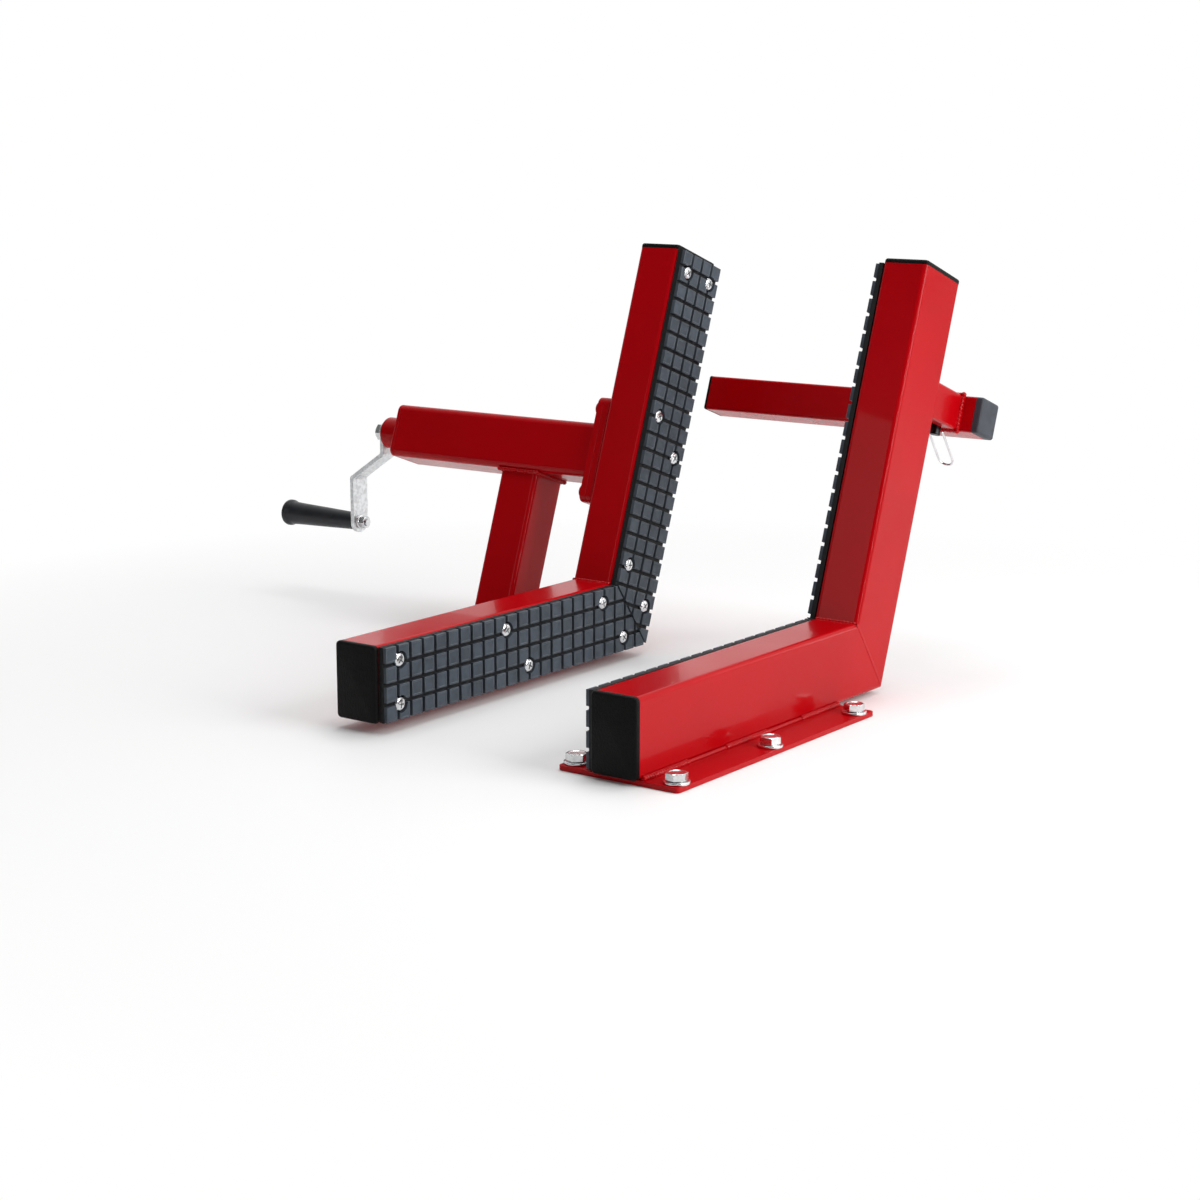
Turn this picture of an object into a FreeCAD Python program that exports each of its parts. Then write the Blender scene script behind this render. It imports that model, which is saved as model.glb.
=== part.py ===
import FreeCAD
import Part
import math
import os
import Sketcher

# Front-wheel vise for a motorcycle lift: an L-shaped jaw bolted to the deck, a facing jaw that a
# crank and screw drive across on a slide tube, and a cross bar behind the wheel.
# Millimetres. X runs across the deck towards the fixed jaw, Y the way the wheel rolls in, Z up.
# The origin is the middle of the fixed jaw's bolt pattern, on the deck.
# The uprights lean by one angle about X. Pieces on them are drawn in leaning axes that start at
# the jaw's inner elbow: across (X), back (from the wheel side to the rear) and along (up the tube).

# Driving dimensions: (name, value, what it is)
SIZES = [
    ("tube_width", 50, "jaw tube, across the deck"),
    ("tube_depth", 75, "jaw tube, from inner to outer face"),
    ("tube_wall", 3, "jaw tube wall"),
    ("tube_corner", 5, "jaw tube outer corner radius"),
    ("arm_length", 369, "lower arm tube, near end to inner elbow"),
    ("upright_length", 366, "upright tube, inner elbow to top"),
    ("lean", 19.5, "lean of the uprights, degrees"),
    ("jaw_gap", 250, "between the jaws' tube faces, jaws open"),
    ("deck_clearance", 10, "moving arm above the deck"),
    ("jaw_travel", 178, "travel of the moving jaw"),
    ("plate_thick", 5, "fixed jaw's base plate"),
    ("plate_width", 130, "base plate, across"),
    ("plate_near", 14, "base plate beyond the first bolts"),
    ("plate_far", 20, "base plate beyond the last bolts"),
    ("plate_corner", 4, "base plate corner radius"),
    ("bolt_pitch", 151, "base bolts, along the arm"),
    ("bolt_side", 54, "base bolts, from the middle line"),
    ("arm_before_bolts", 14.5, "arm tube's near end ahead of the first bolts"),
    ("bolt_radius", 6, "base bolt shank in the plate, radius"),
    ("bolt_thread", 5.8, "base bolt thread below the plate, radius"),
    ("bolt_head_flats", 18, "base bolt head, across flats"),
    ("bolt_head_high", 7.5, "base bolt head height"),
    ("bolt_below", 20, "base bolt shank below the plate"),
    ("bolt_play", 0.5, "hole radius over the bolt's"),
    ("washer_radius", 12, "base washer"),
    ("washer_thick", 2.5, "base washer"),
    ("cap_lip", 5, "end cap outside the tube"),
    ("cap_plug", 16, "end cap inside the tube"),
    ("cap_play", 0.3, "end cap plug inside the tube, per side"),
    ("cap_round", 2, "end cap edge radius"),
    ("pad_thick", 9, "rubber pad with its tread"),
    ("pad_base", 5, "rubber pad under the tread"),
    ("pad_inset", 1, "pad edge inside the tube's edge"),
    ("screw_head", 6.5, "pad screw head radius"),
    ("screw_head_high", 3.6, "pad screw head height"),
    ("screw_shank", 3, "pad screw shank radius"),
    ("screw_reach", 14, "pad screw shank length"),
    ("screw_play", 0.2, "hole radius over the pad screw's"),
    ("screw_well", 8, "recess radius round a pad screw's head"),
    ("screw_row", 16, "pad screws from the tube's edges"),
    ("screw_end", 22, "end pad screws from the tube's end"),
    ("screw_inner_mid", 186, "middle inner-row screw from the elbow"),
    ("screw_outer_mid", 150, "middle outer-row screw from the elbow"),
    ("screw_inner_low", 24, "low inner-row screw from the elbow"),
    ("screw_outer_low", 13, "low outer-row screw below the elbow"),
    ("housing_size", 60, "square housing tube"),
    ("housing_wall", 4, "housing wall"),
    ("housing_corner", 8, "housing outer corner radius"),
    ("housing_length", 280, "housing tube"),
    ("housing_up", 142, "housing axis above the moving elbow, along the upright"),
    ("housing_gap", 2, "housing end to flange, jaws open"),
    ("end_plate", 5, "plate that closes the housing"),
    ("slide_play", 0.5, "slide tube in the housing, per side"),
    ("slide_wall", 3, "slide tube wall"),
    ("slide_length", 262, "slide tube"),
    ("flange_thick", 8, "slide flange and jaw plate, each"),
    ("flange_high", 116, "flange along the upright"),
    ("flange_wide", 70, "flange from front to back"),
    ("flange_corner", 8, "flange corner radius"),
    ("flange_bolt", 5, "flange bolt shank radius"),
    ("flange_bolt_head", 8, "flange bolt head radius"),
    ("flange_bolt_high", 5.5, "flange bolt head height"),
    ("flange_bolt_up", 46, "flange bolts above and below the axis"),
    ("flange_bolt_side", 25, "flange bolts in front of and behind the axis"),
    ("flange_bolt_play", 0.3, "hole radius over the flange bolt's"),
    ("post_size", 50, "square post"),
    ("post_wall", 3, "post wall"),
    ("post_inset", 93, "post middle from the housing's jaw end"),
    ("foot_thick", 6, "post base plate"),
    ("foot_width", 130, "post base plate, across"),
    ("foot_depth", 130, "post base plate, front to back"),
    ("foot_bolt_x", 50, "post bolts from the plate's middle, across"),
    ("foot_bolt_y", 50, "post bolts from the plate's middle, front to back"),
    ("weld_leg", 5, "fillet weld leg"),
    ("nut_length", 25, "drive nut"),
    ("screw_radius", 10, "lead screw"),
    ("journal_radius", 8, "lead screw in its bearing"),
    ("stub_radius", 6, "lead screw end in the crank"),
    ("running", 0.05, "radial clearance of running fits"),
    ("boss_radius", 18, "bearing boss"),
    ("boss_length", 30, "bearing boss"),
    ("collar_radius", 14, "thrust collar"),
    ("collar_length", 6, "thrust collar"),
    ("face_gap", 0.3, "between turning and standing faces"),
    ("screw_past_nut", 5, "lead screw beyond the nut, jaws closed"),
    ("crank_thick", 5, "crank bar"),
    ("crank_width", 25, "crank bar"),
    ("crank_radius", 110, "crank throw"),
    ("crank_offset", 48, "sideways step of the crank"),
    ("crank_bend_top", 26, "start of the step below the screw axis"),
    ("crank_bend_low", 58, "end of the step below the screw axis"),
    ("crank_bend", 4, "inside bend radius"),
    ("nut_high", 8, "crank nut"),
    ("nut_flats", 18, "crank nut, across flats"),
    ("stub_past_nut", 2.5, "screw end beyond the crank nut"),
    ("bar_play", 0.2, "hole radius over the crank's and handle's bolts"),
    ("nut_play", 0.1, "nut bore radius over its thread"),
    ("bar_end_flat", 0.1, "flat left between the crank bar's rounded corners"),
    ("small_washer", 2, "crank and handle washers"),
    ("crank_washer_radius", 12, "crank washer"),
    ("handle_bolt", 4, "handle bolt thread radius"),
    ("handle_shoulder", 5, "handle bolt in the grip"),
    ("handle_head", 8, "handle bolt head radius"),
    ("handle_head_high", 5, "handle bolt head"),
    ("handle_nut_flats", 13, "handle nut, across flats"),
    ("handle_nut_high", 7, "handle nut"),
    ("handle_washer_radius", 8.5, "handle washer"),
    ("handle_past_nut", 2, "handle bolt end beyond its nut"),
    ("grip_length", 111, "grip"),
    ("grip_root", 10, "grip radius at the crank"),
    ("grip_body", 13.5, "grip radius before its rim"),
    ("grip_rim", 15.5, "grip rim radius"),
    ("grip_rim_long", 9, "grip rim length"),
    ("grip_flare", 3, "length over which the rim flares"),
    ("grip_chamfer", 2, "chamfer on the rim's outer edge"),
    ("grip_well", 9, "recess in the grip's end, radius"),
    ("grip_well_deep", 9, "recess in the grip's end, depth"),
    ("stop_size", 38, "wheel stop tubes, square"),
    ("stop_wall", 3, "wheel stop tube wall"),
    ("stop_corner", 3, "wheel stop tube corner radius"),
    ("stop_up", 247, "wheel stop above the fixed elbow, along the upright"),
    ("stop_play", 0.6, "slider in the upright's window, per side"),
    ("stop_back", 65, "cross bar behind the upright"),
    ("stop_left", 296, "cross bar to the left of the fixed jaw's middle"),
    ("stop_right", 34, "cross bar to the right of the fixed jaw's middle"),
    ("stop_left_cap", 3, "left cap outside the bar"),
    ("stop_right_cap", 8, "right cap outside the bar"),
    ("stop_travel", 35, "travel of the wheel stop"),
    ("stop_weld_leg", 3.5, "weld leg between slider and cross bar"),
    ("weld_toe", 0.2, "weld thickness left at its thin edge"),
    ("tool_past", 1, "how far a cutting tool reaches past the metal"),
    ("slider_inset", 2, "slider end from the upright's front wall"),
    ("tongue_play", 0.5, "tongue in the slider, per side"),
    ("tongue_wall", 4, "tongue wall"),
    ("tongue_corner", 1.5, "tongue corner radius"),
    ("slot_past_wall", 0.2, "slot depth past the slider's wall"),
    ("tongue_short", 6, "tongue end ahead of the cross bar"),
    ("pin_radius", 4, "hitch pin"),
    ("pin_ahead", 12, "hitch pin axis ahead of the cross bar"),
    ("pin_slot_play", 0.6, "slot over the hitch pin, per side"),
    ("pin_head", 5.5, "hitch pin head radius"),
    ("pin_head_high", 8, "hitch pin head"),
    ("pin_gap", 0.5, "hitch pin head below the slider"),
    ("pin_short", 1, "hitch pin end below the tongue's top"),
    ("clip_wire", 1.2, "clip wire radius"),
    ("clip_half", 8.2, "clip legs from the middle"),
    ("clip_length", 40, "clip, hinge to the end's bend"),
    ("clip_depth", 1.5, "clip end from the pin's middle"),
    ("clip_angle", 56, "clip from the pin's line, degrees"),
]

doc = FreeCAD.newDocument("wheel_vise")
sheet = doc.addObject("Spreadsheet::Sheet", "sizes")
for row, (name, value, _) in enumerate(SIZES, start=1):
    sheet.set(f"A{row}", str(value))
    sheet.setAlias(f"A{row}", name)
doc.recompute()

parts = []


def full(text):
    """Expression in which each size's name points at its cell."""
    words = {name for name, _, _ in SIZES}
    out = ""
    word = ""
    for letter in str(text) + " ":
        if letter.isalnum() or letter == "_":
            word += letter
            continue
        out += ("sizes." + word if word in words else word) + letter
        word = ""
    return out.strip()


def amount(text):
    """The number that an expression gives now."""
    return float(sheet.evalExpression(full(text)))


def bind(item, **sizes):
    for prop, text in sizes.items():
        item.setExpression(prop.replace("__", "."), full(text))


# Expressions that several pieces share
HALF = "tube_width / 2"
MITRE = "tube_depth * tan(45 deg - lean * 1 deg / 2)"
ARM_NEAR = "(-bolt_pitch - arm_before_bolts)"
ELBOW_Y = f"({ARM_NEAR} + arm_length)"
FIXED_ELBOW = "(plate_thick + tube_depth)"
MOVING_ELBOW = "(deck_clearance + tube_depth)"
MOVING_X = "(-jaw_gap - tube_width)"
JAW_FACE = f"({MOVING_X} - {HALF})"
FLANGE_X = f"({JAW_FACE} - 2 * flange_thick)"
HOUSING_RIGHT = f"({FLANGE_X} - housing_gap)"
HOUSING_LEFT = f"({HOUSING_RIGHT} - housing_length)"
SLIDE_SIZE = "(housing_size - 2 * housing_wall - 2 * slide_play)"
SLIDE_LEFT = f"({FLANGE_X} - slide_length)"
POST_X = f"({HOUSING_RIGHT} - post_inset)"
AXIS_BACK = "tube_depth / 2"
AXIS_UP = "housing_up"
BOSS_END = f"({HOUSING_LEFT} - boss_length)"
CRANK_X = f"({BOSS_END} - face_gap)"
CRANK_OUT = f"({CRANK_X} - crank_thick)"
HANDLE_X = f"({CRANK_X} - crank_offset)"
HANDLE_OUT = f"({HANDLE_X} - crank_thick)"
SCREW_END = f"({SLIDE_LEFT} + nut_length + jaw_travel + screw_past_nut)"
BAR_FRONT = "(tube_depth + stop_back)"
PIN_BACK = f"({BAR_FRONT} - pin_ahead)"
SLIDER_LOW = "(stop_up - stop_size / 2)"
TONGUE_SIZE = "(stop_size - 2 * stop_wall - 2 * tongue_play)"


def keep(item, label, elbow=None):
    """Name a sub-part and place it: on the deck's axes, or on a jaw's leaning axes."""
    item.Label = label
    if elbow:
        item.Placement.Rotation = FreeCAD.Rotation(FreeCAD.Vector(-1, 0, 0), 1)
        bind(item, Placement__Base__y=ELBOW_Y, Placement__Base__z=elbow)
        bind(item, Placement__Rotation__Angle="lean * 1 deg")
    parts.append(item)
    return item


# Sketches and features


def new_body(label):
    return doc.addObject("PartDesign::Body", label)


def sketch(body, role, offset="0"):
    item = body.newObject("Sketcher::SketchObject", body.Name + "_sketch")
    plane = next(f for f in body.Origin.OriginFeatures if f.Role == role)
    item.AttachmentSupport = [(plane, "")]
    item.MapMode = "FlatFace"
    bind(item, AttachmentOffset__Base__z=offset)
    return item


def hold(item, kind, geometry, point, text):
    """Distance of a sketch point from the origin, tied to an expression."""
    number = item.addConstraint(Sketcher.Constraint(kind, -1, 1, geometry, point, amount(text)))
    item.setExpression(f"Constraints[{number}]", full(text))


def outline(item, corners):
    """Closed outline of straight lines through (across, up) corners."""
    first = item.GeometryCount
    count = len(corners)
    points = [FreeCAD.Vector(amount(a), amount(b), 0) for a, b in corners]
    for index in range(count):
        item.addGeometry(Part.LineSegment(points[index], points[(index + 1) % count]), False)
    for index in range(count):
        following = first + (index + 1) % count
        item.addConstraint(Sketcher.Constraint("Coincident", first + index, 2, following, 1))
    for index, (across, up) in enumerate(corners):
        hold(item, "DistanceX", first + index, 1, across)
        hold(item, "DistanceY", first + index, 1, up)
    return item


def rectangle(item, left, right, low, high):
    return outline(item, [(left, low), (right, low), (right, high), (left, high)])


def centred(item, across, up, width, height):
    return rectangle(
        item,
        f"{across} - ({width}) / 2",
        f"{across} + ({width}) / 2",
        f"{up} - ({height}) / 2",
        f"{up} + ({height}) / 2",
    )


def circles(item, centres, radius):
    for across, up in centres:
        middle = FreeCAD.Vector(amount(across), amount(up), 0)
        normal = FreeCAD.Vector(0, 0, 1)
        geometry = item.addGeometry(Part.Circle(middle, normal, amount(radius)), False)
        hold(item, "DistanceX", geometry, 3, across)
        hold(item, "DistanceY", geometry, 3, up)
        number = item.addConstraint(Sketcher.Constraint("Radius", geometry, amount(radius)))
        item.setExpression(f"Constraints[{number}]", full(radius))
    return item


def pad(body, profile, length, both_ways=False, back=False):
    item = body.newObject("PartDesign::Pad", body.Name + "_pad")
    item.Profile = profile
    item.Midplane = both_ways
    item.Reversed = back
    bind(item, Length=length)
    doc.recompute()
    return item


def pocket(body, profile, length=None, both_ways=False, back=False):
    item = body.newObject("PartDesign::Pocket", body.Name + "_pocket")
    item.Profile = profile
    item.Midplane = both_ways
    item.Reversed = back
    if length:
        bind(item, Length=length)
    else:
        item.Type = "ThroughAll"
    before = body.Shape.Volume
    doc.recompute()
    if body.Shape.Volume >= before - 1e-6:
        raise RuntimeError(f"{item.Name} cuts nothing")
    return item


def runs_along(edge, direction):
    if not isinstance(edge.Curve, Part.Line):
        return False
    return abs(abs(edge.Curve.Direction.dot(direction)) - 1) < 1e-6


def round_edges(body, feature, radius, wanted):
    item = body.newObject("PartDesign::Fillet", body.Name + "_fillet")
    names = [f"Edge{n}" for n, edge in enumerate(feature.Shape.Edges, start=1) if wanted(edge)]
    item.Base = (feature, names)
    bind(item, Radius=radius)
    doc.recompute()
    return item


AXES = {
    "YZ_Plane": FreeCAD.Vector(1, 0, 0),
    "XZ_Plane": FreeCAD.Vector(0, 1, 0),
    "XY_Plane": FreeCAD.Vector(0, 0, 1),
}


def tube(label, role, start, length, centre, size, wall, corner, back=False):
    """Hollow tube drawn on one plane: outside, rounded corners, bore."""
    body = new_body(label)
    across, up = centre
    wide, high = size
    outside = pad(body, centred(sketch(body, role, start), across, up, wide, high), length, back=back)
    round_edges(body, outside, corner, lambda edge: runs_along(edge, AXES[role]))
    inner = (f"{wide} - 2 * {wall}", f"{high} - 2 * {wall}")
    pocket(body, centred(sketch(body, role, start), across, up, *inner), both_ways=True)
    return body


# Primitives for fasteners and cutting tools


def box(low, high):
    """Box between two corners, each three expressions."""
    item = doc.addObject("Part::Box", "block")
    for prop, a, b in zip(("Length", "Width", "Height"), low, high):
        bind(item, **{prop: f"({b}) - ({a})"})
    for axis, a in zip("xyz", low):
        bind(item, **{f"Placement__Base__{axis}": a})
    return item


TURNS = {
    "x": FreeCAD.Rotation(FreeCAD.Vector(0, 1, 0), 90),
    "y": FreeCAD.Rotation(FreeCAD.Vector(1, 0, 0), -90),
    "z": FreeCAD.Rotation(),
}


def along(item, axis, start, centre):
    """Put a primitive's base at start on its axis, which passes through centre."""
    item.Placement.Rotation = TURNS[axis]
    others = [letter for letter in "xyz" if letter != axis]
    bind(item, **{f"Placement__Base__{axis}": start})
    for letter, text in zip(others, centre):
        bind(item, **{f"Placement__Base__{letter}": text})
    return item


def rod(axis, start, end, centre, radius):
    item = doc.addObject("Part::Cylinder", "rod")
    bind(item, Radius=radius, Height=f"({end}) - ({start})")
    return along(item, axis, start, centre)


def hexagon(axis, start, end, centre, flats):
    item = doc.addObject("Part::Prism", "hexagon")
    item.Polygon = 6
    bind(item, Circumradius=f"({flats}) / 2 / cos(30 deg)", Height=f"({end}) - ({start})")
    return along(item, axis, start, centre)


def join(items):
    item = doc.addObject("Part::MultiFuse", "joined")
    item.Shapes = items
    return item


def together(items):
    item = doc.addObject("Part::Compound", "group")
    item.Links = items
    return item


def less(base, tool):
    item = doc.addObject("Part::Cut", "cut")
    item.Base = base
    item.Tool = tool
    return item


# Jaws: each is a lower arm and an upright, cut to one mitre at the elbow


def screw_places(side, length):
    """Pad screws as (from inner face, along the tube): two rows of three."""
    inner = f"{side} * screw_row"
    outer = f"{side} * (tube_depth - screw_row)"
    return [
        (inner, f"{length} - screw_end"),
        (outer, f"{length} - screw_end"),
        (inner, "screw_inner_mid"),
        (outer, "screw_outer_mid"),
        (inner, "screw_inner_low"),
        (outer, "-screw_outer_low"),
    ]


def mitred_tube(label, length, side, pad_side):
    """Tube along local Z from the mitre to its free end. side is +1 if the tube's outer face lies
    on +Y, and pad_side is the X face that the pad is screwed to."""
    whole = f"{length} + {MITRE}"
    centre = ("0", f"{side} * tube_depth / 2")
    body = tube(
        label, "XY_Plane", f"-{MITRE}", whole, centre,
        ("tube_width", "tube_depth"), "tube_wall", "tube_corner",
    )
    wedge = [("0", "0"), ("0", f"-{MITRE}"), (f"{side} * tube_depth", f"-{MITRE}")]
    pocket(body, outline(sketch(body, "YZ_Plane"), wedge), both_ways=True)
    holes = circles(sketch(body, "YZ_Plane"), screw_places(side, length), "screw_shank + screw_play")
    pocket(body, holes, back=pad_side > 0)
    return body


def tread_pad(label, length, side, pad_side):
    """Rubber pad with a recess round each screw."""
    body = new_body(label)
    inner = f"{side} * pad_inset"
    outer = f"{side} * (tube_depth - pad_inset)"
    slope = f"{MITRE} / tube_depth"
    corners = [
        (inner, f"{length} - pad_inset"),
        (outer, f"{length} - pad_inset"),
        (outer, f"-(tube_depth - pad_inset) * {slope}"),
        (inner, f"-pad_inset * {slope}"),
    ]
    face = f"{pad_side} * {HALF}"
    top = f"{pad_side} * ({HALF} + pad_thick)"
    left = pad_side < 0
    pad(body, outline(sketch(body, "YZ_Plane", face), corners), "pad_thick", back=left)
    places = screw_places(side, length)
    wells = circles(sketch(body, "YZ_Plane", top), places, "screw_well")
    pocket(body, wells, "pad_thick - pad_base", back=left)
    holes = circles(sketch(body, "YZ_Plane", top), places, "screw_shank + screw_play")
    pocket(body, holes, "pad_thick", back=left)
    return body


def pad_screws(length, side, pad_side):
    """Six pan-head screws, each a head on the pad's base and a shank into the tube."""
    screws = []
    seat = f"({HALF} + pad_base)"
    head_end = f"({HALF} + pad_base + screw_head_high)"
    tip = f"({HALF} + pad_base - screw_reach)"
    for place in screw_places(side, length):
        if pad_side > 0:
            head = rod("x", seat, head_end, place, "screw_head")
            shank = rod("x", tip, seat, place, "screw_shank")
        else:
            head = rod("x", f"-{head_end}", f"-{seat}", place, "screw_head")
            shank = rod("x", f"-{seat}", f"-{tip}", place, "screw_shank")
        screws.append(join([head, shank]))
    return together(screws)


def end_cap(label, start, side):
    """Plastic plug for the open end of a jaw tube, at start on local Z."""
    body = new_body(label)
    up = f"{side} * tube_depth / 2"
    lip = centred(sketch(body, "XY_Plane", start), "0", up, "tube_width", "tube_depth")
    block = pad(body, lip, "cap_lip")
    far = amount(start) + amount("cap_lip")
    round_edges(body, block, "cap_round", lambda edge: edge.BoundBox.ZMax > far - 1e-6)
    inside = "- 2 * tube_wall - 2 * cap_play"
    plug = centred(sketch(body, "XY_Plane", start), "0", up, f"tube_width {inside}", f"tube_depth {inside}")
    pad(body, plug, "cap_plug", back=True)
    return body


def lay_arm(item, label, x, z_top):
    """Place an arm piece: its local Z runs from the elbow to the near end, its local -Y down."""
    item.Label = label
    item.Placement.Rotation = FreeCAD.Rotation(FreeCAD.Vector(1, 0, 0), 90)
    bind(item, Placement__Base__x=x, Placement__Base__y=ELBOW_Y, Placement__Base__z=z_top)
    parts.append(item)


def stand_upright(item, label, x, elbow):
    keep(item, label, elbow)
    bind(item, Placement__Base__x=x)


def window_in(upright):
    """Square window for the wheel stop in the upright's rear wall."""
    half = "(stop_size / 2 + stop_play)"
    low = (f"-{half}", "tube_depth / 2", f"stop_up - {half}")
    high = (half, "tube_depth + tube_wall", f"stop_up + {half}")
    return less(upright, box(low, high))


def make_jaw(name, x, elbow, pad_side, has_window):
    arm = mitred_tube(f"{name}_arm_body", "arm_length", -1, pad_side)
    lay_arm(arm, f"{name}_lower_arm", x, elbow)
    upright = mitred_tube(f"{name}_upright_body", "upright_length", 1, pad_side)
    if has_window:
        upright = window_in(upright)
    stand_upright(upright, f"{name}_upright", x, elbow)
    lay_arm(tread_pad(f"{name}_arm_pad", "arm_length", -1, pad_side), f"{name}_lower_pad", x, elbow)
    upper_pad = tread_pad(f"{name}_top_pad", "upright_length", 1, pad_side)
    stand_upright(upper_pad, f"{name}_upright_pad", x, elbow)
    lay_arm(pad_screws("arm_length", -1, pad_side), f"{name}_lower_pad_screws", x, elbow)
    stand_upright(pad_screws("upright_length", 1, pad_side), f"{name}_upright_pad_screws", x, elbow)
    lay_arm(end_cap(f"{name}_near_plug", "arm_length", -1), f"{name}_arm_cap", x, elbow)
    stand_upright(end_cap(f"{name}_top_plug", "upright_length", 1), f"{name}_top_cap", x, elbow)


# Plates, bolts and welds on the deck


def bolted_plate(label, left, right, near, far, thick, centres):
    body = new_body(label)
    slab = pad(body, rectangle(sketch(body, "XY_Plane"), left, right, near, far), thick)
    round_edges(body, slab, "plate_corner", lambda edge: runs_along(edge, AXES["XY_Plane"]))
    pocket(body, circles(sketch(body, "XY_Plane"), centres, "bolt_radius + bolt_play"), both_ways=True)
    return keep(body, label)


def deck_bolt(centre, plate):
    """Hex bolt through a plate, its shank standing out below."""
    seat = f"({plate} + washer_thick)"
    head = hexagon("z", seat, f"{seat} + bolt_head_high", centre, "bolt_head_flats")
    shank = rod("z", "0", seat, centre, "bolt_radius")
    thread = rod("z", "-bolt_below", "0", centre, "bolt_thread")
    return join([head, shank, thread])


def deck_washer(centre, plate):
    disc = rod("z", plate, f"{plate} + washer_thick", centre, "washer_radius")
    hole = rod("z", plate, f"{plate} + washer_thick", centre, "bolt_radius + bolt_play / 2")
    return less(disc, hole)


def make_base():
    centres = [(f"{side} * bolt_side", f"{step} * bolt_pitch") for side in (-1, 1) for step in (-1, 0, 1)]
    near = "-bolt_pitch - plate_near"
    far = "bolt_pitch + plate_far"
    edges = ("-plate_width / 2", "plate_width / 2", near, far)
    bolted_plate("fixed_base_plate", *edges, "plate_thick", centres)
    for number, centre in enumerate(centres, start=1):
        keep(deck_bolt(centre, "plate_thick"), f"base_bolt_{number}")
    keep(together([deck_washer(centre, "plate_thick") for centre in centres]), "base_washers")


def make_base_weld():
    """Triangular weld along the lower arm's outer foot. The pad covers the inner one."""
    body = new_body("weld_strip")
    corners = [(HALF, "plate_thick"), (f"{HALF} + weld_leg", "plate_thick"), (HALF, "plate_thick + weld_leg")]
    start = f"-({ARM_NEAR} + tube_wall)"
    length = "bolt_pitch * 2 + plate_far + arm_before_bolts - 2 * tube_wall"
    pad(body, outline(sketch(body, "XZ_Plane", start), corners), length, back=True)
    keep(body, "fixed_arm_weld")


# Post and housing


def post_cut_up(back):
    """Height along the post where it meets its base plate, at a distance back."""
    return f"((foot_thick - {MOVING_ELBOW} + ({back}) * sin(lean * 1 deg)) / cos(lean * 1 deg))"


def make_post():
    top = "(housing_up - housing_size / 2)"
    front = f"({AXIS_BACK} - post_size / 2)"
    rear = f"({AXIS_BACK} + post_size / 2)"
    low = post_cut_up(front)
    high = post_cut_up(rear)
    body = tube(
        "post_body", "XY_Plane", top, f"{top} - {low}", (POST_X, AXIS_BACK),
        ("post_size", "post_size"), "post_wall", "tube_corner", back=True,
    )
    wedge = [(front, low), (rear, low), (rear, high)]
    pocket(body, outline(sketch(body, "YZ_Plane", POST_X), wedge), both_ways=True)
    keep(body, "post_tube", MOVING_ELBOW)


def foot_middle():
    """Y of the post's foot on its base plate."""
    up = post_cut_up(AXIS_BACK)
    return f"({ELBOW_Y} + {AXIS_BACK} * cos(lean * 1 deg) + {up} * sin(lean * 1 deg))"


def make_foot():
    y = foot_middle()
    corners = [(a, b) for a in (-1, 1) for b in (-1, 1)]
    centres = [(f"{POST_X} + {a} * foot_bolt_x", f"{y} + {b} * foot_bolt_y") for a, b in corners]
    edges = (
        f"{POST_X} - foot_width / 2",
        f"{POST_X} + foot_width / 2",
        f"{y} - foot_depth / 2",
        f"{y} + foot_depth / 2",
    )
    bolted_plate("post_base_plate", *edges, "foot_thick", centres)
    keep(together([deck_bolt(centre, "foot_thick") for centre in centres]), "post_bolts")
    keep(together([deck_washer(centre, "foot_thick") for centre in centres]), "post_washers")


def sloping_collar(label, role, start, centre, size, leg, back):
    """Weld round a rectangular foot: full leg at the seat, none at its end."""
    body = new_body(label)
    across, up = centre
    wide, high = size
    seat = centred(sketch(body, role, start), across, up, f"{wide} + 2 * {leg}", f"{high} + 2 * {leg}")
    sign = "-" if back else "+"
    toe = (f"{wide} + 2 * weld_toe", f"{high} + 2 * weld_toe")
    edge = centred(sketch(body, role, f"{start} {sign} {leg}"), across, up, *toe)
    loft = body.newObject("PartDesign::AdditiveLoft", label + "_loft")
    loft.Profile = seat
    loft.Sections = [edge]
    loft.Ruled = True
    doc.recompute()
    pocket(body, centred(sketch(body, role, start), across, up, wide, high), both_ways=True)
    return body


def make_post_weld():
    top = "(housing_up - housing_size / 2)"
    size = ("post_size", "post_size")
    weld = sloping_collar("post_top_weld", "XY_Plane", top, (POST_X, AXIS_BACK), size, "weld_leg", True)
    keep(weld, "post_weld", MOVING_ELBOW)


def make_housing():
    centre = (AXIS_BACK, AXIS_UP)
    size = ("housing_size", "housing_size")
    body = tube(
        "housing_body", "YZ_Plane", f"{HOUSING_LEFT} + end_plate", "housing_length - end_plate",
        centre, size, "housing_wall", "housing_corner",
    )
    keep(body, "housing_tube", MOVING_ELBOW)
    plate = new_body("end_plate_body")
    slab = pad(plate, centred(sketch(plate, "YZ_Plane", HOUSING_LEFT), *centre, *size), "end_plate")
    left = amount(HOUSING_LEFT)
    round_edges(plate, slab, "housing_corner", lambda edge: runs_along(edge, AXES["YZ_Plane"]))
    tip = plate.Tip
    round_edges(plate, tip, "cap_round", lambda edge: edge.BoundBox.XMax < left + 1e-6)
    bore = circles(sketch(plate, "YZ_Plane", HOUSING_LEFT), [centre], "journal_radius + running")
    pocket(plate, bore, both_ways=True)
    keep(plate, "housing_end_plate", MOVING_ELBOW)
    boss = less(
        rod("x", BOSS_END, HOUSING_LEFT, centre, "boss_radius"),
        rod("x", BOSS_END, HOUSING_LEFT, centre, "journal_radius + running"),
    )
    keep(boss, "bearing_boss", MOVING_ELBOW)


# Slide tube and flanges of the moving jaw


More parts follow.
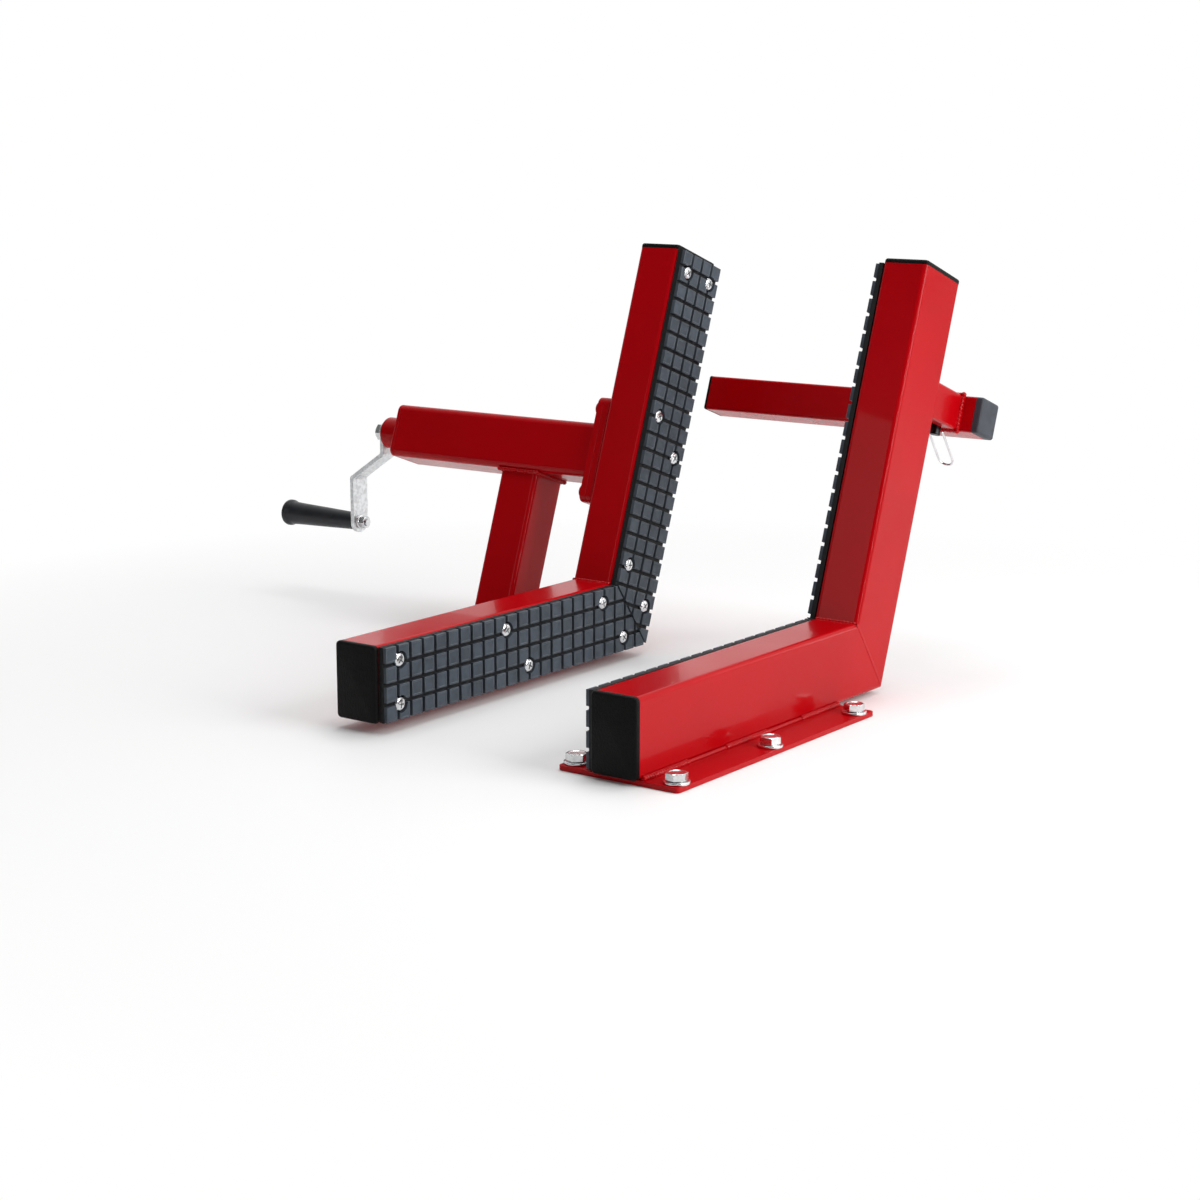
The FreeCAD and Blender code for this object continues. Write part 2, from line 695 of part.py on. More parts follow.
def flange(label, start):
    body = new_body(label + "_body")
    slab = pad(
        body,
        centred(sketch(body, "YZ_Plane", start), AXIS_BACK, AXIS_UP, "flange_wide", "flange_high"),
        "flange_thick",
    )
    round_edges(body, slab, "flange_corner", lambda edge: runs_along(edge, AXES["YZ_Plane"]))
    holes = circles(sketch(body, "YZ_Plane", start), flange_places(), "flange_bolt + flange_bolt_play")
    pocket(body, holes, both_ways=True)
    keep(body, label, MOVING_ELBOW)


def flange_places():
    return [
        (f"{AXIS_BACK} + {a} * flange_bolt_side", f"{AXIS_UP} + {b} * flange_bolt_up")
        for a in (-1, 1)
        for b in (-1, 1)
    ]


def flange_bolt(place):
    head = rod("x", f"{FLANGE_X} - flange_bolt_high", FLANGE_X, place, "flange_bolt_head")
    shank = rod("x", FLANGE_X, f"{JAW_FACE} - face_gap", place, "flange_bolt")
    return join([head, shank])


def make_slide():
    centre = (AXIS_BACK, AXIS_UP)
    body = tube(
        "slide_body", "YZ_Plane", SLIDE_LEFT, "slide_length", centre,
        (SLIDE_SIZE, SLIDE_SIZE), "slide_wall", "tube_corner",
    )
    keep(body, "slide_tube", MOVING_ELBOW)
    flange("slide_flange", FLANGE_X)
    flange("jaw_plate", f"({JAW_FACE} - flange_thick)")
    for number, place in enumerate(flange_places(), start=1):
        keep(flange_bolt(place), f"flange_bolt_{number}", MOVING_ELBOW)
    inner = f"({SLIDE_SIZE} / 2 - slide_wall)"
    low = (SLIDE_LEFT, f"{AXIS_BACK} - {inner}", f"{AXIS_UP} - {inner}")
    high = (f"{SLIDE_LEFT} + nut_length", f"{AXIS_BACK} + {inner}", f"{AXIS_UP} + {inner}")
    bore = rod("x", SLIDE_LEFT, f"{SLIDE_LEFT} + nut_length", centre, "screw_radius + running")
    keep(less(box(low, high), bore), "drive_nut", MOVING_ELBOW)


# Screw, crank and grip. The crank hangs straight down, so it is drawn on upright axes whose
# origin is the screw axis.


def hang(item, label):
    """Place a crank piece: upright axes through the screw axis."""
    item.Label = label
    y = f"{ELBOW_Y} + {AXIS_BACK} * cos(lean * 1 deg) + {AXIS_UP} * sin(lean * 1 deg)"
    z = f"{MOVING_ELBOW} - {AXIS_BACK} * sin(lean * 1 deg) + {AXIS_UP} * cos(lean * 1 deg)"
    bind(item, Placement__Base__y=y, Placement__Base__z=z)
    parts.append(item)


def make_screw():
    axis = ("0", "0")
    inside = f"({HOUSING_LEFT} + end_plate + face_gap)"
    stub_end = f"({CRANK_OUT} - small_washer - nut_high - stub_past_nut)"
    pieces = [
        rod("x", stub_end, CRANK_X, axis, "stub_radius"),
        rod("x", CRANK_X, inside, axis, "journal_radius"),
        rod("x", inside, f"{inside} + collar_length", axis, "collar_radius"),
        rod("x", inside, SCREW_END, axis, "screw_radius"),
    ]
    hang(join(pieces), "lead_screw")


def nut(start, end, centre, flats, bore):
    return less(hexagon("x", start, end, centre, flats), rod("x", start, end, centre, bore))


def washer(start, end, centre, radius, bore):
    return less(rod("x", start, end, centre, radius), rod("x", start, end, centre, bore))


def make_crank():
    body = new_body("crank_body")
    top = "crank_width / 2"
    low = "(-crank_radius - crank_width / 2)"
    step = f"(crank_thick * tan(atan(crank_offset / (crank_bend_low - crank_bend_top)) / 2))"
    corners = [
        (CRANK_X, top),
        (CRANK_OUT, top),
        (CRANK_OUT, f"-crank_bend_top + {step}"),
        (HANDLE_OUT, f"-crank_bend_low + {step}"),
        (HANDLE_OUT, low),
        (HANDLE_X, low),
        (HANDLE_X, "-crank_bend_low"),
        (CRANK_X, "-crank_bend_top"),
    ]
    bar = pad(body, outline(sketch(body, "XZ_Plane"), corners), "crank_width", both_ways=True)
    across = AXES["YZ_Plane"]
    end_round = "(crank_width - bar_end_flat) / 2"
    round_edges(body, bar, end_round, lambda edge: runs_along(edge, across))
    bends = (-amount("crank_bend_top"), -amount("crank_bend_low"))
    near = 1.2 * amount("crank_thick")
    side = AXES["XZ_Plane"]

    def at_a_bend(edge):
        away = min(abs(edge.CenterOfMass.z - height) for height in bends)
        return runs_along(edge, side) and away < near

    round_edges(body, body.Tip, "crank_bend", at_a_bend)
    pocket(body, circles(sketch(body, "YZ_Plane"), [("0", "0")], "stub_radius + bar_play"), both_ways=True)
    pivot = circles(sketch(body, "YZ_Plane"), [("0", "-crank_radius")], "handle_bolt + bar_play")
    pocket(body, pivot, both_ways=True)
    hang(body, "crank_arm")
    axis = ("0", "0")
    seat = f"({CRANK_OUT} - small_washer)"
    hang(washer(seat, CRANK_OUT, axis, "crank_washer_radius", "stub_radius + bar_play"), "crank_washer")
    hang(nut(f"{seat} - nut_high", seat, axis, "nut_flats", "stub_radius + nut_play"), "crank_nut")


def make_handle():
    pivot = ("0", "-crank_radius")
    washer_end = f"({HANDLE_X} + small_washer)"
    nut_end = f"({washer_end} + handle_nut_high)"
    grip_start = f"({HANDLE_OUT} - face_gap)"
    grip_end = f"({grip_start} - grip_length)"
    well = f"({grip_end} + grip_well_deep)"
    bolt = join([
        rod("x", HANDLE_OUT, f"{nut_end} + handle_past_nut", pivot, "handle_bolt"),
        rod("x", f"{well} - face_gap", HANDLE_OUT, pivot, "handle_shoulder"),
        rod("x", f"{well} - face_gap - handle_head_high", f"{well} - face_gap", pivot, "handle_head"),
    ])
    hang(bolt, "handle_bolt_shaft")
    disc = washer(HANDLE_X, washer_end, pivot, "handle_washer_radius", "handle_bolt + bar_play")
    hang(disc, "handle_washer")
    hang(nut(washer_end, nut_end, pivot, "handle_nut_flats", "handle_bolt + nut_play"), "handle_nut")
    make_grip(grip_start, grip_end, well)


def make_grip(start, end, well):
    """Tapered grip with a rim, turned about the handle bolt."""
    body = new_body("grip_body_turned")
    bore = "(handle_shoulder + running)"
    rim = f"({end} + grip_rim_long)"
    low = "-crank_radius + "
    corners = [
        (start, low + bore),
        (start, low + "grip_root"),
        (rim, low + "grip_body"),
        (f"{rim} - grip_flare", low + "grip_rim"),
        (f"{end} + grip_chamfer", low + "grip_rim"),
        (end, low + "(grip_rim - grip_chamfer)"),
        (end, low + "grip_well"),
        (well, low + "grip_well"),
        (well, low + bore),
    ]
    profile = outline(sketch(body, "XZ_Plane"), corners)
    line = profile.addGeometry(
        Part.LineSegment(
            FreeCAD.Vector(amount(end), -amount("crank_radius"), 0),
            FreeCAD.Vector(amount(start), -amount("crank_radius"), 0),
        ),
        True,
    )
    for point, text in ((1, end), (2, start)):
        hold(profile, "DistanceX", line, point, text)
        hold(profile, "DistanceY", line, point, "-crank_radius")
    turned = body.newObject("PartDesign::Revolution", "grip_turned")
    turned.Profile = profile
    turned.ReferenceAxis = (profile, ["Axis0"])
    turned.Angle = 360
    doc.recompute()
    hang(body, "handle_grip")


# Wheel stop: cross bar on a slider that runs into the fixed upright over a tongue


def make_stop():
    centre = ("0", "stop_up")
    size = ("stop_size", "stop_size")
    front = "(tube_wall + slider_inset)"
    slider = tube(
        "slider_body", "XZ_Plane", f"-{front}", f"{BAR_FRONT} - {front}", centre, size,
        "stop_wall", "stop_corner", back=True,
    )
    half = "(pin_radius + pin_slot_play)"
    slot = box(
        (f"-{half}", f"{PIN_BACK} - stop_travel - {half}", f"{SLIDER_LOW} - tool_past"),
        (half, f"{PIN_BACK} + {half}", f"{SLIDER_LOW} + stop_wall + slot_past_wall"),
    )
    keep(less(slider, slot), "stop_slider", FIXED_ELBOW)
    middle = f"({BAR_FRONT} + stop_size / 2)"
    bar = tube(
        "crossbar_body", "YZ_Plane", "-stop_left", "stop_left + stop_right", (middle, "stop_up"), size,
        "stop_wall", "stop_corner",
    )
    keep(bar, "stop_crossbar", FIXED_ELBOW)
    make_stop_cap("stop_left_cap", "-stop_left", "stop_left_cap", middle, True)
    make_stop_cap("stop_right_cap", "stop_right", "stop_right_cap", middle, False)
    weld = sloping_collar(
        "stop_weld_body", "XZ_Plane", f"-{BAR_FRONT}", centre, size, "stop_weld_leg", False
    )
    keep(weld, "stop_weld", FIXED_ELBOW)


def make_stop_cap(label, start, lip, middle, left):
    body = new_body(label + "_body")
    face = centred(sketch(body, "YZ_Plane", start), middle, "stop_up", "stop_size", "stop_size")
    block = pad(body, face, lip, back=left)
    far = amount(start) + (-amount(lip) if left else amount(lip))
    round_edges(body, block, "cap_round", lambda edge: abs(edge.CenterOfMass.x - far) < 1e-6)
    inner = "(stop_size - 2 * stop_wall - 2 * cap_play)"
    plug = centred(sketch(body, "YZ_Plane", start), middle, "stop_up", inner, inner)
    pad(body, plug, "cap_plug", back=not left)
    keep(body, label, FIXED_ELBOW)


def make_tongue():
    """Square tube inside the slider, fixed to the upright's front wall, drilled for the pin."""
    tongue = tube(
        "tongue_body", "XZ_Plane", "-tube_wall", f"{BAR_FRONT} - tongue_short - tube_wall",
        ("0", "stop_up"), (TONGUE_SIZE, TONGUE_SIZE), "tongue_wall", "tongue_corner", back=True,
    )
    drill = rod(
        "z", SLIDER_LOW, f"{SLIDER_LOW} + stop_size", ("0", PIN_BACK), "pin_radius + running"
    )
    keep(less(tongue, drill), "stop_tongue", FIXED_ELBOW)


def make_pin():
    place = ("0", PIN_BACK)
    top = f"(stop_up + {TONGUE_SIZE} / 2 - pin_short)"
    seat = f"({SLIDER_LOW} - pin_gap)"
    low = f"({seat} - pin_head_high)"
    head = rod("z", low, seat, place, "pin_head")
    middle = f"({seat} - pin_head_high / 2)"
    cross = rod("x", "-pin_head", "pin_head", (PIN_BACK, middle), "clip_wire + running")
    body = less(join([head, rod("z", seat, top, place, "pin_radius")]), cross)
    keep(body, "hitch_pin_shaft", FIXED_ELBOW)
    make_clip(amount(PIN_BACK), amount(middle))


def clip_half_path():
    """Half of the clip's wire in its own plane: end stub, bend, leg, quarter of the end bow."""
    wire = amount("clip_wire")
    bend = 2 * wire
    half = amount("clip_half")
    length = amount("clip_length")
    depth = amount("clip_depth")
    root = math.sqrt(0.5)

    def point(x, z):
        return FreeCAD.Vector(x, 0, z)

    corner = Part.Arc(
        point(half - bend, 0),
        point(half - bend + bend * root, -bend + bend * root),
        point(half, -bend),
    )
    bow = Part.Arc(
        point(half, -length),
        point(half * root, -length - half * root),
        point(0, -length - half),
    )
    return [
        Part.LineSegment(point(depth, 0), point(half - bend, 0)).toShape(),
        corner.toShape(),
        Part.LineSegment(point(half, -bend), point(half, -length)).toShape(),
        bow.toShape(),
    ]


def make_clip(back, up):
    """Wire bail with its two ends in the pin's head, held out at an angle."""
    wire = amount("clip_wire")
    path = Part.Wire(clip_half_path())
    start = FreeCAD.Vector(amount("clip_depth"), 0, 0)
    ring = Part.Wire(Part.Circle(start, FreeCAD.Vector(1, 0, 0), wire).toShape())
    half = path.makePipeShell([ring], True, False)
    other = half.mirror(FreeCAD.Vector(0, 0, 0), FreeCAD.Vector(1, 0, 0))
    shape = half.fuse(other).removeSplitter()
    turn = FreeCAD.Rotation(FreeCAD.Vector(1, 0, 0), amount("clip_angle"))
    frame = lean_frame()
    item = doc.addObject("Part::Feature", "clip")
    item.Shape = shape
    item.Label = "pin_clip"
    item.Placement = frame.multiply(FreeCAD.Placement(FreeCAD.Vector(0, back, up), turn))
    parts.append(item)


def lean_frame():
    """Placement of the fixed jaw's leaning axes."""
    base = FreeCAD.Vector(0, amount(ELBOW_Y), amount(FIXED_ELBOW))
    return FreeCAD.Placement(base, FreeCAD.Rotation(FreeCAD.Vector(1, 0, 0), -amount("lean")))


def check_document():
    for item in doc.Objects:
        if any(word in item.State for word in ("Invalid", "Error")):
            raise RuntimeError(f"{item.Name} failed: {item.State}")
    for item in parts:
        if item.Shape.isNull() or not item.Shape.isValid():
            raise RuntimeError(f"{item.Label} has no valid shape")


def write_parts():
    os.makedirs("parts", exist_ok=True)
    for item in parts:
        item.Shape.exportStep(f"parts/{item.Label}.step")
        bounds = item.Shape.BoundBox
        ends = [bounds.XMin, bounds.XMax, bounds.YMin, bounds.YMax, bounds.ZMin, bounds.ZMax]
        size = " ".join(f"{end:.1f}" for end in ends)
        print(f"{item.Label}: {len(item.Shape.Solids)} solid(s), {item.Shape.Volume:.0f} mm3, {size}")


make_jaw("fixed", "0", FIXED_ELBOW, -1, True)
make_base()
make_base_weld()
make_post()
make_foot()
make_post_weld()
make_housing()
make_slide()
make_jaw("moving", MOVING_X, MOVING_ELBOW, 1, False)
make_screw()
make_crank()
make_handle()
make_stop()
make_tongue()
make_pin()
doc.recompute()
check_document()
write_parts()
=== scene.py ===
import math

import bmesh
import bpy
from mathutils import Matrix, Vector


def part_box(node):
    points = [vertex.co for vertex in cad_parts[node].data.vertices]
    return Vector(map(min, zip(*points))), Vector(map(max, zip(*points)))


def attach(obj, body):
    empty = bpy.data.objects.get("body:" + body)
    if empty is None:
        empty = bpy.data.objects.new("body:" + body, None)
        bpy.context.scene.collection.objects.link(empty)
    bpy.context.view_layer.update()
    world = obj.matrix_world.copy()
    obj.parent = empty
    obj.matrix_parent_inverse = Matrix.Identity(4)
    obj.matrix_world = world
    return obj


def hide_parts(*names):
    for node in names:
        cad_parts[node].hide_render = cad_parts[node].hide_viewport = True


bl_info = {
    "name": "Wheel vise",
    "version": (1, 0, 0),
    "blender": (4, 5, 0),
    "location": "View3D > Sidebar > Vise",
    "description": "Finishes a front-wheel vise: paint, tread pads, fasteners, welds, crank and stage",
    "category": "Add Mesh",
}

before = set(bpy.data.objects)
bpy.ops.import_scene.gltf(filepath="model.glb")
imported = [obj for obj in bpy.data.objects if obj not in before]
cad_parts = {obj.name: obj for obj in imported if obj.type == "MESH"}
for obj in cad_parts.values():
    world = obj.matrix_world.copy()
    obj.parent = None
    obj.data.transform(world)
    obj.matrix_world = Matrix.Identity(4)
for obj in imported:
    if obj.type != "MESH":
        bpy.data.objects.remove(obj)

# Sizes below are in metres, on the frame's axes: X across the deck towards the fixed jaw, Y the
# way the wheel rolls in, Z up. A jaw tube has its own axes: x across, y from its wheel side
# (towards +y on an upright, -y on a lower arm), z from the elbow to the free end.

MM = 0.001
LEAN = math.radians(19.5)
TUBE_WIDTH = 50 * MM
TUBE_DEPTH = 75 * MM
ARM_LENGTH = 369 * MM
UPRIGHT_LENGTH = 366 * MM
TUBE_LENGTH = {"lower": ARM_LENGTH, "upright": UPRIGHT_LENGTH}
MITRE = TUBE_DEPTH * math.tan((math.pi / 2 - LEAN) / 2)
PAD_THICK = 9 * MM
PAD_BASE = 5 * MM
PAD_INSET = 1 * MM
CAP_LIP = 5 * MM
CAP_PLUG = 16 * MM
CAP_PLUG_INSET = 3.3 * MM
HOUSING_UP = 142 * MM
HOUSING_SIZE = 60 * MM
FLANGE_BOLT_REACH = 15.7 * MM
POST_SIZE = 50 * MM
STOP_UP = 247 * MM
STOP_SIZE = 38 * MM
STOP_FRONT = 140 * MM
JAW_BODY = {"fixed": "frame", "moving": "moving_jaw"}
PAD_SIDE = {"fixed": -1, "moving": 1}


# Settings


class ViseSizes(bpy.types.PropertyGroup):
    """Sizes of the details that are added to the frame."""

    rows: bpy.props.IntProperty(
        name="Tread rows", description="Blocks across a pad", default=4, min=1, max=12
    )
    across_pitch: bpy.props.FloatProperty(
        name="Pitch across", description="Block to block across the pad", default=19 * MM, unit="LENGTH"
    )
    along_pitch: bpy.props.FloatProperty(
        name="Pitch along", description="Block to block along the pad", default=18.25 * MM, unit="LENGTH"
    )
    groove: bpy.props.FloatProperty(
        name="Groove", description="Gap between blocks", default=3.9 * MM, unit="LENGTH"
    )
    dish: bpy.props.FloatProperty(
        name="Dish", description="Depth of the sunk face in each block", default=0.35 * MM, unit="LENGTH"
    )
    rim: bpy.props.FloatProperty(
        name="Rim", description="Width of the rim round the sunk face", default=1.5 * MM, unit="LENGTH"
    )
    well: bpy.props.FloatProperty(
        name="Screw well", description="Radius of the recess at a screw", default=8.6 * MM, unit="LENGTH"
    )
    steel_edge: bpy.props.FloatProperty(
        name="Steel edge", description="Rounding of painted steel edges", default=0.7 * MM, unit="LENGTH"
    )
    bar_edge: bpy.props.FloatProperty(
        name="Bar edge", description="Rounding of the crank bar's edges", default=0.5 * MM, unit="LENGTH"
    )
    nut_edge: bpy.props.FloatProperty(
        name="Nut edge", description="Rounding of hex edges", default=0.3 * MM, unit="LENGTH"
    )
    ripple: bpy.props.FloatProperty(
        name="Weld ripple", description="Spacing of the ripples in a weld", default=3.4 * MM, unit="LENGTH"
    )
    thread_pitch: bpy.props.FloatProperty(
        name="Thread pitch", description="Pitch of the shown threads", default=1.75 * MM, unit="LENGTH"
    )


class ViseFinishes(bpy.types.PropertyGroup):
    """Colours of the finishes."""

    red: bpy.props.FloatVectorProperty(
        name="Red paint", description="Powder coat", subtype="COLOR", size=3, default=(0.43, 0.001, 0.004)
    )
    red_deep: bpy.props.FloatVectorProperty(
        name="Deep red", description="Thicker coat", subtype="COLOR", size=3, default=(0.37, 0.0008, 0.003)
    )
    block: bpy.props.FloatVectorProperty(
        name="Block face",
        description="Rubber worn bluish",
        subtype="COLOR",
        size=3,
        default=(0.052, 0.066, 0.086),
    )
    # Colour of the blocks' rims: a pale colour painted on as a highlight.
    block_rim_highlight: bpy.props.FloatVectorProperty(
        name="Block edge",
        description="Rubber worn pale",
        subtype="COLOR",
        size=3,
        default=(0.115, 0.135, 0.155),
    )
    rubber: bpy.props.FloatVectorProperty(
        name="Rubber",
        description="Rubber in the grooves",
        subtype="COLOR",
        size=3,
        default=(0.005, 0.0053, 0.006),
    )
    plastic: bpy.props.FloatVectorProperty(
        name="Cap plastic",
        description="Pebbled plastic",
        subtype="COLOR",
        size=3,
        default=(0.0045, 0.004, 0.004),
    )
    soft_cap: bpy.props.FloatVectorProperty(
        name="Soft cap",
        description="Bar end cap",
        subtype="COLOR",
        size=3,
        default=(0.036, 0.042, 0.055),
    )
    grip: bpy.props.FloatVectorProperty(
        name="Grip", description="Satin grip", subtype="COLOR", size=3, default=(0.012, 0.013, 0.016)
    )
    zinc: bpy.props.FloatVectorProperty(
        name="Zinc", description="Bright zinc plate", subtype="COLOR", size=3, default=(0.78, 0.79, 0.80)
    )
    dull_zinc: bpy.props.FloatVectorProperty(
        name="Dull zinc",
        description="Zinc on the crank bar",
        subtype="COLOR",
        size=3,
        default=(0.80, 0.82, 0.83),
    )
    floor: bpy.props.FloatVectorProperty(
        name="Floor", description="Pale floor", subtype="COLOR", size=3, default=(0.88, 0.88, 0.88)
    )


def sizes():
    return bpy.context.scene.vise_sizes


def finishes():
    return bpy.context.scene.vise_finishes


# Selecting and shaping


def clear_selection():
    if bpy.context.mode != "OBJECT":
        bpy.ops.object.mode_set(mode="OBJECT")
    bpy.ops.object.select_all(action="DESELECT")


def make_active(piece):
    clear_selection()
    piece.select_set(True)
    bpy.context.view_layer.objects.active = piece


def edit(piece, kind, wanted):
    """Edit mode with only the wanted faces, edges or points selected."""
    make_active(piece)
    bpy.ops.object.mode_set(mode="EDIT")
    bpy.ops.mesh.select_mode(type=kind)
    bpy.ops.mesh.select_all(action="DESELECT")
    mesh = bmesh.from_edit_mesh(piece.data)
    mesh.normal_update()
    items = {"FACE": mesh.faces, "EDGE": mesh.edges, "VERT": mesh.verts}[kind]
    for item in items:
        if wanted(item):
            item.select_set(True)
    bmesh.update_edit_mesh(piece.data)


def edit_all(piece):
    make_active(piece)
    bpy.ops.object.mode_set(mode="EDIT")
    bpy.ops.mesh.select_mode(type="VERT")
    bpy.ops.mesh.select_all(action="SELECT")


def close_edit():
    bpy.ops.object.mode_set(mode="OBJECT")


def faces_towards(direction):
    way = Vector(direction)
    return lambda face: face.normal.dot(way) > 0.99


def edges_along(direction):
    way = Vector(direction)
    return lambda edge: abs((edge.verts[0].co - edge.verts[1].co).normalized().dot(way)) > 0.999


def settle(piece, place=None):
    """Move the piece by a matrix and write its place into its mesh."""
    if place is not None:
        piece.matrix_world = place @ piece.matrix_world
    make_active(piece)
    bpy.ops.object.transform_apply(location=True, rotation=True, scale=True)
    return piece


def box(name, low, high):
    middle = (Vector(low) + Vector(high)) / 2
    clear_selection()
    bpy.ops.mesh.primitive_cube_add(size=1, location=middle, scale=Vector(high) - Vector(low))
    piece = bpy.context.object
    piece.name = name
    return settle(piece)


def rod(name, radius, low, high, sides=32):
    """Round bar on the Z axis, from low to high."""
    clear_selection()
    middle = (0, 0, (low + high) / 2)
    bpy.ops.mesh.primitive_cylinder_add(vertices=sides, radius=radius, depth=high - low, location=middle)
    piece = bpy.context.object
    piece.name = name
    return settle(piece)


def lathe(name, outline, steps=40):
    """Closed outline of (radius, height) points, drawn point by point and spun about Z."""
    clear_selection()
    bpy.ops.mesh.primitive_plane_add(size=MM)
    piece = bpy.context.object
    piece.name = name
    edit_all(piece)
    bpy.ops.mesh.merge(type="CENTER")
    radius, height = outline[0]
    bpy.ops.transform.translate(value=(radius, 0, height))
    for one, following in zip(outline, outline[1:] + outline[:1]):
        step = (following[0] - one[0], 0, following[1] - one[1])
        bpy.ops.mesh.extrude_vertices_move(TRANSFORM_OT_translate={"value": step})
    bpy.ops.mesh.select_all(action="SELECT")
    bpy.ops.mesh.remove_doubles(threshold=1e-6)
    bpy.ops.mesh.select_all(action="SELECT")
    bpy.ops.mesh.spin(steps=steps, angle=2 * math.pi, center=(0, 0, 0), axis=(0, 0, 1))
    bpy.ops.mesh.select_all(action="SELECT")
    bpy.ops.mesh.remove_doubles(threshold=1e-6)
    bpy.ops.mesh.normals_make_consistent(inside=False)
    close_edit()
    return piece


def apply_modifier(piece, kind, **settings):
    make_active(piece)
    bpy.ops.object.modifier_add(type=kind)
    modifier = piece.modifiers[-1]
    for key, value in settings.items():
        setattr(modifier, key, value)
    bpy.ops.object.modifier_apply(modifier=modifier.name)
    return piece


def combine(piece, tool, operation):
    apply_modifier(piece, "BOOLEAN", object=tool, operation=operation, solver="EXACT")
    bpy.data.objects.remove(tool)
    return piece


def repeat(piece, count, step):
    return apply_modifier(
        piece,
        "ARRAY",
        count=count,
        use_relative_offset=False,
        use_constant_offset=True,
        constant_offset_displace=step,
    )


def cut_off(piece, point, normal):
    """Cut away what lies past a plane, and close the cut."""
    edit_all(piece)
    bpy.ops.mesh.bisect(
        plane_co=point, plane_no=normal, use_fill=True, clear_outer=True, clear_inner=False
    )
    close_edit()


def join(pieces, name):
    clear_selection()
    for piece in pieces:
        piece.select_set(True)
    bpy.context.view_layer.objects.active = pieces[0]
    bpy.ops.object.join()
    pieces[0].name = name
    return pieces[0]


def copy_of(piece, name):
    """Another piece of the same shape, with its own mesh."""
    make_active(piece)
    bpy.ops.object.duplicate()
    copy = bpy.context.object
    copy.name = name
    return copy


def smooth(piece, degrees=35):
    make_active(piece)
    bpy.ops.object.shade_smooth_by_angle(angle=math.radians(degrees))


def polish(piece):
    """Shade round faces smooth and keep flat ones flat."""
    smooth(piece)
    return apply_modifier(piece, "WEIGHTED_NORMAL", keep_sharp=True)


def ease(piece, width, segments=2, degrees=35):
    """Round the piece's sharp edges, and keep its flat faces flat."""
    apply_modifier(
        piece,
        "BEVEL",
        width=width,
        segments=segments,
        limit_method="ANGLE",
        angle_limit=math.radians(degrees),
        use_clamp_overlap=False,
    )
    return polish(piece)


def finish(piece, body, material, nodes=()):
    """Give the piece its finish and the body it moves with, and hide the nodes it stands for."""
    if material:
        piece.data.materials.clear()
        piece.data.materials.append(material)
    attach(piece, body)
    if nodes:
        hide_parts(*nodes)
    return piece


def copy_of_node(node, name):
    """A merged copy of a node's mesh, in its place, with its flat faces whole."""
    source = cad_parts[node]
    make_active(source)
    bpy.ops.object.duplicate()
    copy = bpy.context.object
    copy.parent = None
    for key in list(copy.keys()):
        del copy[key]
    copy.name = name
    bpy.ops.mesh.customdata_custom_splitnormals_clear()
    edit_all(copy)
    bpy.ops.mesh.remove_doubles(threshold=1e-6)
    bpy.ops.mesh.dissolve_limited(angle_limit=math.radians(0.4))
    close_edit()
    return copy


# Places


def node_middle(node):
    low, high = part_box(node)
    return (low + high) / 2


def tube_axes(jaw, upright):
    """From a jaw tube's own axes to the frame."""
    low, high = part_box(f"{jaw}_lower_arm")
    elbow = Matrix.Translation(((low.x + high.x) / 2, low.y + ARM_LENGTH, high.z))
    turn = Matrix.Rotation(-LEAN if upright else math.pi / 2, 4, "X")
    return elbow @ turn


def screw_places(side, length):
    """Pad screws as (y, z) on a tube's own axes, two rows of three."""
    inner = side * 16 * MM
    outer = side * (TUBE_DEPTH - 16 * MM)
    end = length - 22 * MM
    return [
        (inner, end),
        (outer, end),
        (inner, 186 * MM),
        (outer, 150 * MM),
        (inner, 24 * MM),
        (outer, -13 * MM),
    ]


def face_way(outward):
    """Turn that brings +Z to a direction across X, used for pieces modelled upright."""
    return Matrix.Rotation(math.pi / 2 * outward, 4, "Y")


# Shader groups


def new_group(name, inputs, outputs):
    group = bpy.data.node_groups.new(name, "ShaderNodeTree")
    for label, kind, value in inputs:
        socket = group.interface.new_socket(label, in_out="INPUT", socket_type=kind)
        if value is not None:
            socket.default_value = value
    for label, kind in outputs:
        group.interface.new_socket(label, in_out="OUTPUT", socket_type=kind)
    return group, group.nodes.new("NodeGroupInput"), group.nodes.new("NodeGroupOutput")


def noise_in(tree, vector, scale, detail=3.0):
    node = tree.nodes.new("ShaderNodeTexNoise")
    node.inputs["Detail"].default_value = detail
    tree.links.new(vector, node.inputs["Vector"])
    if isinstance(scale, float):
        node.inputs["Scale"].default_value = scale
    else:
        tree.links.new(scale, node.inputs["Scale"])
    return node.outputs[0]


def map_in(tree, value, low, high, to_low, to_high, soft=False):
    node = tree.nodes.new("ShaderNodeMapRange")
    if soft:
        node.interpolation_type = "SMOOTHERSTEP"
    tree.links.new(value, node.inputs["Value"])
    for label, amount in zip(("From Min", "From Max", "To Min", "To Max"), (low, high, to_low, to_high)):
        if isinstance(amount, (int, float)):
            node.inputs[label].default_value = amount
        else:
            tree.links.new(amount, node.inputs[label])
    return node.outputs[0]


def mottle_group():
    """Patches: a value that wanders between Low and High over the surface."""
    inputs = [
        ("Place", "NodeSocketVector", None),
        ("Scale", "NodeSocketFloat", 20.0),
        ("Low", "NodeSocketFloat", 0.0),
        ("High", "NodeSocketFloat", 1.0),
    ]
    group, start, end = new_group("Mottle", inputs, [("Value", "NodeSocketFloat")])
    noise = noise_in(group, start.outputs["Place"], start.outputs["Scale"], 2.0)
    value = map_in(group, noise, 0.25, 0.75, start.outputs["Low"], start.outputs["High"], True)
    group.links.new(value, end.inputs["Value"])
    return group


